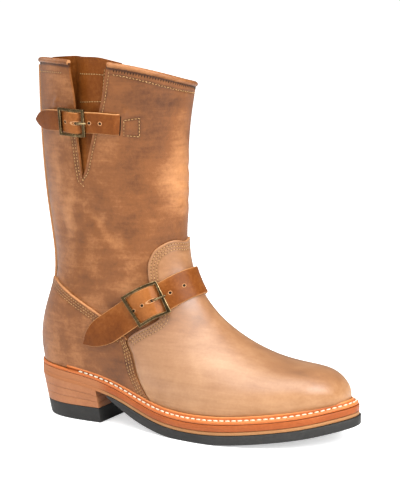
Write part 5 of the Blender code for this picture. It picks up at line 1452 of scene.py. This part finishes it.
# Sole: rings round the foot print, one for each step of a layer's profile.
soleLook = {"stations": 150, "halfSole": 8.0, "halfSoleStart": 84.0, "skive": 36.0, "skived": 1.6,
            "runnerInset": 0.6, "insoleInset": 1.8, "insole": 4.0, "stackEnd": 72.0,
            "toeFlare": (238.0, 48.0, 2.0)}


def outlineAt(out):
    at = np.linspace(0, printRound, 1440, endpoint=False)
    point = footPrint(at)
    tangent = unit(footPrint(at + 0.2) - footPrint(at - 0.2))
    outward = np.stack([-tangent[:, 1], tangent[:, 0]], 1)
    return point + outward * out(point[:, 0])[:, None]


def stationsAt(out, start=-400.0, end=800.0, count=150):
    ring = outlineAt(out)
    heel = int(round(heelAt / printRound * len(ring)))
    outer = ring[:heel + 1][::-1]
    inner = np.concatenate([ring[heel:], ring[:1]])
    first = max(start, ring[:, 0].min())
    last = min(end, ring[:, 0].max())
    x = first + (last - first) * (1 - np.cos(np.linspace(0, math.pi, count + 1))) / 2
    return x, np.interp(x, outer[:, 0], outer[:, 1]), np.interp(x, inner[:, 0], inner[:, 1])


def layRings(name, rings):  # rings of outer and inner edge points, bottom to top, closed over both ends
    grid = []
    for outer, inner in [rings[0], *rings, rings[-1]]:
        grid.append(np.concatenate([outer, inner[::-1], outer[:1]]))
    for k in (0, -1):
        half = len(rings[0][0])
        middle = (grid[k][:half] + grid[k][half:2 * half][::-1]) / 2
        grid[k] = np.concatenate([middle, middle[::-1], middle[:1]])
    grid = np.array(grid)
    return layGrid(name, grid), grid


def toeFlare(x):  # the sole spreads a little toward the ground at the toe
    start, reach, amount = soleLook["toeFlare"]
    return amount * softStep((x - start) / reach)


def pastHeel(x):  # 0 over the heel, where the layers lie close, and 1 ahead of it
    return softStep((x - soleLook["stackEnd"]) / 16.0)


def soleLayer(name, out, low, high, material, slot, node, start=-400.0, soft=0.5):
    profile = ((-soft * 2.2, 0.0), (-soft, 0.0), (-soft * 0.3, soft * 0.3), (0.0, soft),
               (0.0, -soft), (-soft * 0.3, -soft * 0.3), (-soft, 0.0), (-soft * 2.2, 0.0))
    rings = []
    for k, (inset, lift) in enumerate(profile):
        x, outer, inner = stationsAt(lambda a, d=inset: out(a) + d * (0.25 + 0.75 * pastHeel(a)), start,
                                     count=soleLook["stations"])
        bottom, top = low(x), high(x)
        lift = lift * (0.25 + 0.75 * pastHeel(x))
        z = bottom + np.minimum(lift, (top - bottom) * 0.4) if k < 4 else top + np.maximum(lift, (bottom - top) * 0.4)
        rings.append((np.stack([x, outer, z], 1), np.stack([x, inner, z], 1)))
    piece, grid = layRings(name, rings)
    paintPoints(piece, "tone", np.zeros(grid.shape[:2]))
    if slot == "sole_leather":  # over the heel the layers take the colour of its stack
        paintPoints(piece, "edge", 1 - pastHeel(grid[..., 0]))
    closeSeams(piece, recalc=True)
    finishPiece(piece, (material,), (node,), 50)


def halfSoleTop(x):
    return soleLine(x) - bootShape["gap"]


def halfSoleTread(x):
    share = np.clip((x - soleLook["halfSoleStart"]) / soleLook["skive"], 0, 1)
    depth = soleLook["skived"] + (soleLook["halfSole"] - soleLook["skived"]) * share * (2 - share)
    return np.maximum(halfSoleTop(x) - depth, 0.0)


def runnerReveal(x):
    return reveal(x) - soleLook["runnerInset"]


soleLayer("halfSole", lambda x: reveal(x) + toeFlare(x), halfSoleTread, halfSoleTop, soleRubber, "rubber", "half_sole",
          soleLook["halfSoleStart"], 0.6)
soleLayer("runnerLayer", lambda x: runnerReveal(x) + 0.6 * toeFlare(x),
          lambda x: soleLine(x) - bootShape["gap"] * (1 - pastHeel(x)), runnerTop, leather["runnerLeather"],
          "sole_leather", "runner")
soleLayer("midsoleLayer", lambda x: reveal(x) + 0.3 * toeFlare(x) - 0.5 * (1 - pastHeel(x)),
          lambda x: runnerTop(x) + bootShape["gap"] * pastHeel(x), midsoleTop,
          leather["midsoleLeather"], "sole_leather", "midsole", soft=0.6)
soleLayer("insoleBoard", lambda x: np.full_like(x, -upperLook["wall"] - soleLook["insoleInset"]),
          lambda x: midsoleTop(x) + bootShape["gap"], lambda x: midsoleTop(x) + bootShape["gap"] + soleLook["insole"],
          leather["lining"], "insole", "insole")

heelLook = {"breast": 72.0, "lean": 4.0, "drawBack": 0.06, "drawSide": 0.065, "stackDrop": 0.62, "cap": 13.0,
            "lifts": 3, "lines": 2}


def heelPrint(drop, inset=0.0):
    breast = heelLook["breast"]
    x, outer, inner = stationsAt(lambda a: runnerReveal(a) - inset, -400.0, breast - inset, 120)
    kept = x <= breast
    x, outer, inner = x[kept], outer[kept], inner[kept]
    seat = soleLine(x) - bootShape["gap"]
    x = breast + heelLook["lean"] * drop + (x - breast) * (1 - heelLook["drawBack"] * drop)
    middle = (outer + inner) / 2
    narrow = 1 - heelLook["drawSide"] * drop
    return x, middle + (outer - middle) * narrow, middle + (inner - middle) * narrow, seat


def heelRing(drop, share, inset, lift=0.0):
    x, outer, inner, seat = heelPrint(drop, inset)
    foot = heelLook["cap"] + bootShape["gap"]
    z = foot + (seat - foot) * share + lift
    return np.stack([x, outer, z], 1), np.stack([x, inner, z], 1)


def capRing(drop, height, inset):
    x, outer, inner, seat = heelPrint(drop, inset)
    z = np.full_like(x, height)
    return np.stack([x, outer, z], 1), np.stack([x, inner, z], 1)


def makeHeel():
    shares = np.linspace(0, 1, heelLook["lifts"] + 1)
    for k in range(heelLook["lifts"]):
        low, high = shares[k], shares[k + 1]
        gap = 0.06 if k < heelLook["lifts"] - 1 else 0.0
        rings = []
        steps = ((low, 0.9, 0.0), (low, 0.12, 0.0), (low, 0.0, 0.1), (low * 0.75 + high * 0.25, 0.0, 0.0),
                 (low * 0.5 + high * 0.5, 0.0, 0.0), (low * 0.25 + high * 0.75, 0.0, 0.0),
                 (high, 0.0, -gap - 0.1), (high, 0.12, -gap), (high, 0.9, -gap))
        for share, inset, lift in steps:
            rings.append(heelRing((1 - share) * heelLook["stackDrop"], share, inset, lift))
        piece, grid = layRings("heelLift%d" % (k + 1), rings)
        levels = [steps[0][0]] + [step[0] for step in steps] + [steps[-1][0]]
        layers = np.repeat(np.array(levels)[:, None], grid.shape[1], 1) * heelLook["lifts"] * heelLook["lines"]
        paintPoints(piece, "layers", layers)
        closeSeams(piece, recalc=True)
        finishPiece(piece, (heelStack,), ("heel_lift_%d" % (k + 1),), 50)
    drop = heelLook["stackDrop"]
    rings = [capRing(1.0, 0.0, 1.6), capRing(1.0, 0.0, 0.6), capRing(1.0, 0.4, 0.1), capRing(0.97, 1.0, 0.0),
             capRing(drop + 0.02, heelLook["cap"] - 0.6, 0.0), capRing(drop, heelLook["cap"] - 0.15, 0.1),
             capRing(drop, heelLook["cap"], 0.5), capRing(drop, heelLook["cap"], 1.4)]
    piece, grid = layRings("heelCap", rings)
    closeSeams(piece, recalc=True)
    finishPiece(piece, (soleRubber,), ("heel_cap",), 50)


makeHeel()

# Welt and rand: profile as distance out, share of the reveal, height.
weltLook = {
    "start": 42.0,
    "steps": 420,
    "welt": ((-2.2, 0.0, 0.0), (-1.0, 1.0, 0.0), (-0.5, 1.0, 0.2), (-0.3, 1.0, 0.7), (-0.3, 1.0, 1.5),
             (-0.45, 1.0, 2.0), (-0.8, 1.0, 2.35), (-1.3, 1.0, 2.65), (0.95, 0.72, 3.0), (0.75, 0.72, 2.85),
             (0.15, 0.72, 3.05), (-0.45, 0.72, 3.45), (-0.7, 0.72, 3.75), (2.75, 0.25, 4.2), (2.65, 0.25, 4.9),
             (2.3, 0.25, 5.6), (1.8, 0.25, 6.0), (1.2, 0.25, 5.9), (0.6, 0.25, 5.0), (-2.2, 0.0, 3.4)),
    "rand": ((-2.2, 0.0, 0.0), (-0.8, 1.0, 0.0), (-0.4, 1.0, 0.4), (-0.5, 1.0, 1.8), (-0.9, 1.0, 2.4),
             (-1.5, 1.0, 2.6), (-2.2, 0.0, 2.6)),
    "stitchStart": 54.0,
    "stitchOut": (0.35, 0.72, 3.15),
    "stitchLean": 0.5,
}


def edgeFrame(start, steps, behind):
    dense = np.linspace(0, printRound, 2881)
    along = footPrint(dense)[:, 0]
    heel = np.searchsorted(dense, heelAt)
    outerCut = dense[:heel][np.argmin(np.abs(along[:heel] - start))]
    innerCut = dense[heel:][np.argmin(np.abs(along[heel:] - start))]
    if behind:
        at = np.linspace(outerCut + bootShape["gap"], innerCut - bootShape["gap"], steps + 1)
    else:
        at = np.linspace(innerCut - printRound, outerCut, steps + 1)
    point = footPrint(at % printRound)
    tangent = unit(footPrint((at + 0.2) % printRound) - footPrint((at - 0.2) % printRound))
    return point, np.stack([-tangent[:, 1], tangent[:, 0]], 1), reveal(point[:, 0])


def edgePoints(point, outward, rim, out, share, height):
    flat = point + outward * (out + share * rim)[:, None]
    return np.column_stack([flat, midsoleTop(flat[:, 0]) + bootShape["gap"] + height])


def layEdge(name, profile, steps, behind, tones):
    point, outward, rim = edgeFrame(weltLook["start"], steps, behind)
    lines = []
    for out, share, height in profile + profile[:1]:
        lines.append(edgePoints(point, outward, rim, out, share, height))
    grid = np.stack(lines, 1)
    grid = capEnds(grid)
    piece = layGrid(name, grid)
    paintPoints(piece, "tone", np.repeat(np.array(tones + tones[:1])[None, :], len(grid), 0))
    closeSeams(piece, recalc=True)
    finishPiece(piece, (leather["weltLeather"],), (name.replace("Strip", ""),), 40)


# Painted light and shade across the welt's profile: darker underneath, in its groove and where it meets the upper,
# lighter on top of its edge and rib.
weltTones = (-0.3, -0.3, -0.2, 0.0, 0.0, 0.1, 0.15, 0.1, 0.0, -0.3, -0.35, -0.3, -0.05, -0.25, 0.1, 0.35, 0.45, 0.2,
             -0.5, -0.6)
layEdge("weltStrip", weltLook["welt"], weltLook["steps"], False, weltTones)
# Painted light and shade across the rand's profile: lighter along its top edge, darker at its ends.
layEdge("randStrip", weltLook["rand"], 160, True, (-0.2, -0.1, 0.0, 0.0, 0.15, 0.1, -0.2))

# Stitches: one small stitch is modelled, then laid along every row.
stitchLook = {"pitch": 2.8, "long": 2.1, "thick": 0.38, "tall": 0.38, "sink": 0.0, "prick": 0.46}
weltStitchLook = {"pitch": 5.4, "long": 4.2, "thick": 0.80, "tall": 0.75, "sink": -0.05}
gatherLook = {"pitch": 2.4, "long": 2.6, "thick": 0.42, "tall": 0.22, "sink": 0.05, "drop": 0.09}


def stitchShape():
    bpy.ops.object.select_all(action="DESELECT")
    bpy.ops.mesh.primitive_uv_sphere_add(segments=6, ring_count=4, radius=1.0, rotation=(0, math.pi / 2, 0))
    piece = bpy.context.object
    bpy.ops.object.transform_apply(location=True, rotation=True, scale=True)
    points = np.array([vertex.co[:] for vertex in piece.data.vertices])
    points[:, 0] = np.sign(points[:, 0]) * np.abs(points[:, 0]) ** 0.6  # blunt ends
    faces = [tuple(face.vertices) for face in piece.data.polygons]
    bpy.data.objects.remove(piece, do_unlink=True)
    return points, faces


stitchPoints, stitchFaces = stitchShape()


def stitchesAlong(path, normals, look, slant=0.0):
    length = lengthAlong(path)
    count = max(int(length[-1] // look["pitch"]), 1)
    at = (np.arange(count) + 0.5) * length[-1] / count
    spot = np.stack([np.interp(at, length, path[:, i]) for i in range(3)], 1)
    ahead = np.stack([np.interp(at + 0.3, length, path[:, i]) - np.interp(at - 0.3, length, path[:, i])
                      for i in range(3)], 1)
    up = np.stack([np.interp(at, length, normals[:, i]) for i in range(3)], 1)
    ahead = unit(ahead)
    up = unit(up - (up * ahead).sum(1)[:, None] * ahead)
    side = np.cross(up, ahead)
    turn = np.where(np.arange(count) % 2, slant, -slant)[:, None]
    ahead, side = ahead * np.cos(turn) + side * np.sin(turn), side * np.cos(turn) - ahead * np.sin(turn)
    scaled = stitchPoints * (look["long"] / 2, look["thick"], look["tall"])
    return (spot[:, None] + ahead[:, None] * scaled[None, :, :1] + side[:, None] * scaled[None, :, 1:2]
            + up[:, None] * (scaled[None, :, 2:] - look["sink"])).reshape(-1, 3)


def makeStitches(name, clumps, material):
    points = np.concatenate(clumps)
    count = len(stitchPoints)
    faces = [tuple(i + k * count for i in face) for k in range(len(points) // count) for face in stitchFaces]
    finishPiece(layFaces(name, points, faces), (material,), (), 80)


def rowOnUpper(line, height, look=stitchLook, slant=0.0):
    u, v = line[0], line[1] % 1.0
    path = upperPoint(u, v, np.broadcast_to(height, u.shape))
    return path, upperNormal(u, v), look, slant


def rowOnStrap(space, alongs, acrosses):
    point, underside, start, end = space
    corner = np.arange(len(alongs))
    fine = np.linspace(0, len(alongs) - 1, 40 * len(alongs))
    a, b = np.interp(fine, corner, alongs), np.interp(fine, corner, acrosses)
    height = underside(a) + strapLook["thick"] * 1.04
    path = point(a, b, height)
    lift = point(a, b, height + 1.0) - path
    return path, unit(lift), stitchLook, 0.0


def sewRows():
    runs = [rowOnUpper(line, counterHeight - rowLook["sink"]) for line in seamRows["counter"]]
    runs += [rowOnUpper(line, overlayTop - rowLook["sink"]) for line in seamRows["vamp"]]
    runs += [rowOnUpper(line, -rowLook["sink"]) for line in seamRows["shaft"]]
    runs += [rowOnUpper(line, -rowLook["sink"], stitchLook, 0.5) for line in seamRows["collar"]]
    share = np.linspace(*gussetLook["side"], 40)
    rows = np.linspace(slitLook["tip"] + 1.2, collarRow - 0.1, 60)
    side = np.full(len(rows), gussetLook["side"][1])
    for row, place in [(np.full(len(share), first), share) for first in gussetLook["sewn"]] + [(rows, side)]:
        path = gussetPoint(row, place)
        lift = gussetPoint(row, place, 1.0) - path
        runs.append((path, unit(lift), stitchLook, 0.0))
    space = strapSpace["instep"]
    near, middle, far, half = strapLook["sewnEnd"]
    near, middle, far = space[3] - near, space[3] - middle, space[3] - far
    runs.append(rowOnStrap(space, (near, near, far, far, near), (-half, half, half, -half, -half)))
    runs.append(rowOnStrap(space, (middle, middle), (-half, half)))
    return runs


# Painted shade: flat dark discs stand for the shade inside the needle holes.
def pricks(runs, material):  # the needle's holes at both ends of every stitch
    spots, ups = [], []
    for path, normals, look, slant in runs:
        length = lengthAlong(path)
        count = max(int(length[-1] // look["pitch"]), 1)
        at = np.arange(count + 1) * length[-1] / count
        spots.append(np.stack([np.interp(at, length, path[:, i]) for i in range(3)], 1))
        ups.append(np.stack([np.interp(at, length, normals[:, i]) for i in range(3)], 1))
    spot, up = np.concatenate(spots), unit(np.concatenate(ups))
    side = unit(np.cross(up, (0.31, 0.17, 0.93)))  # any direction that no row of stitches faces
    ahead = np.cross(side, up)
    corners = 7
    turn = np.arange(corners) * 2 * math.pi / corners
    ring = (spot[:, None] + side[:, None] * np.cos(turn)[None, :, None] * stitchLook["prick"]
            + ahead[:, None] * np.sin(turn)[None, :, None] * stitchLook["prick"] + up[:, None] * 0.10)
    faces = [tuple(range(corners * k, corners * k + corners)) for k in range(len(spot))]
    piece = layFaces("needleHoles", ring.reshape(-1, 3), faces)
    finishPiece(piece, (material,), (), 80)


sewn = sewRows()
makeStitches("seamStitches", [stitchesAlong(*run) for run in sewn], threadAndShade["seamThread"])
pricks(sewn, threadAndShade["needleHoleShade"])


def weltRow():
    point, outward, rim = edgeFrame(weltLook["stitchStart"], 600, False)
    path = edgePoints(point, outward, rim, *weltLook["stitchOut"])
    up = np.column_stack([outward * weltLook["stitchLean"], np.ones(len(path))])
    return stitchesAlong(path, up, weltStitchLook)


makeStitches("weltStitches", [weltRow()], threadAndShade["weltThread"])


# The gathers are near-black: partly the stitches, partly painted shade in the puckered leather there.
def gatherRow():  # short dark stitches across the edge, close under the roll of the collar
    at = collarPlaces()
    row = np.full(len(at), collarRow - gatherLook["drop"])
    return stitchesAlong(*rowOnUpper((row, at), 0.0, gatherLook, math.pi / 2))


makeStitches("collarGathers", [gatherRow()], threadAndShade["holeShade"])

# Stage: pale floor, soft light, camera at the angle of the photograph.
stageLook = {
    "floorColour": (0.84, 0.84, 0.84),
    "floorGlow": 0.56,
    "glowReach": (0.25, 1.3),
    "floorSize": 60.0,
    "worldLight": 0.30,
    "lights": (  # name, place, size, power
        ("top", (0.0, -0.6, 1.85), 1.9, 50.0),
        ("right", (1.5, -0.35, 1.1), 1.2, 52.0),
        ("left", (-1.6, -0.1, 0.85), 1.2, 11.0),
        ("front", (-0.3, -2.3, 1.0), 2.0, 17.0),
    ),
    "cameraPlace": (0.6650, -1.2283, 0.3756),
    "cameraTurn": 28.08,
    "cameraDip": 8.94,
    "lens": 118.0,
}


def makeStage():
    bpy.ops.object.select_all(action="DESELECT")
    bpy.ops.mesh.primitive_plane_add(size=stageLook["floorSize"], location=(0, 0, -0.0004))
    floor = bpy.context.object
    floor.name = "paleFloor"
    bpy.ops.object.transform_apply(location=True)
    material, nodes, links, shader, vector = startMaterial("paleFloor")
    speck = noiseNode(nodes, links, vector, 3.0)
    links.new(rampNode(nodes, links, speck, ((0.0, stageLook["floorColour"]), (1.0, (0.88, 0.88, 0.88)))),
              shader.inputs["Base Color"])
    shader.inputs["Roughness"].default_value = 0.9
    shader.inputs["Specular IOR Level"].default_value = 0.1
    shader.inputs["Emission Color"].default_value = (1.0, 1.0, 1.0, 1.0)
    seen = nodes.new("ShaderNodeLightPath")
    away = nodes.new("ShaderNodeVectorMath")
    away.operation = "LENGTH"
    links.new(vector, away.inputs[0])
    first, last = stageLook["glowReach"]  # white further off, so that only the boot's own shadow shows
    further = mathNode(nodes, links, "SUBTRACT", away.outputs["Value"], first)
    further = mathNode(nodes, links, "MULTIPLY", further, 1 / (last - first), True)
    further = mathNode(nodes, links, "MULTIPLY", further, 1.05 - stageLook["floorGlow"])
    further = mathNode(nodes, links, "ADD", further, stageLook["floorGlow"])
    glow = mathNode(nodes, links, "MULTIPLY", seen.outputs["Is Camera Ray"], further)
    links.new(glow, shader.inputs["Emission Strength"])
    floor.data.materials.append(material)
    world = bpy.data.worlds.new("softStudio")
    bpy.context.scene.world = world
    world.use_nodes = True
    nodes, links = world.node_tree.nodes, world.node_tree.links
    soft = nodes["Background"]
    soft.inputs["Color"].default_value = (1.0, 0.985, 0.97, 1.0)
    soft.inputs["Strength"].default_value = stageLook["worldLight"]
    white = nodes.new("ShaderNodeBackground")
    white.inputs["Color"].default_value = (1.0, 1.0, 1.0, 1.0)
    white.inputs["Strength"].default_value = 1.05
    seen = nodes.new("ShaderNodeLightPath")
    mix = nodes.new("ShaderNodeMixShader")
    links.new(seen.outputs["Is Camera Ray"], mix.inputs["Fac"])
    links.new(soft.outputs[0], mix.inputs[1])
    links.new(white.outputs[0], mix.inputs[2])
    links.new(mix.outputs[0], nodes["World Output"].inputs["Surface"])
    for name, place, size, power in stageLook["lights"]:
        bpy.ops.object.light_add(type="AREA", location=place)
        light = bpy.context.object
        light.name = name + "Light"
        light.data.size = size
        light.data.energy = power
        light.rotation_euler = (Vector((0, 0, 0.12)) - Vector(place)).to_track_quat("-Z", "Y").to_euler()
    turn, dip = math.radians(stageLook["cameraTurn"]), math.radians(stageLook["cameraDip"])
    ahead = Vector((-math.sin(turn) * math.cos(dip), math.cos(turn) * math.cos(dip), -math.sin(dip)))
    bpy.ops.object.camera_add(location=stageLook["cameraPlace"])
    camera = bpy.context.object
    camera.name = "photoCamera"
    camera.rotation_euler = ahead.to_track_quat("-Z", "Y").to_euler()
    camera.data.lens = stageLook["lens"]
    camera.data.sensor_width = 36.0
    bpy.context.scene.camera = camera
    bpy.context.scene.view_settings.view_transform = "Standard"
    print("stage ready")


makeStage()
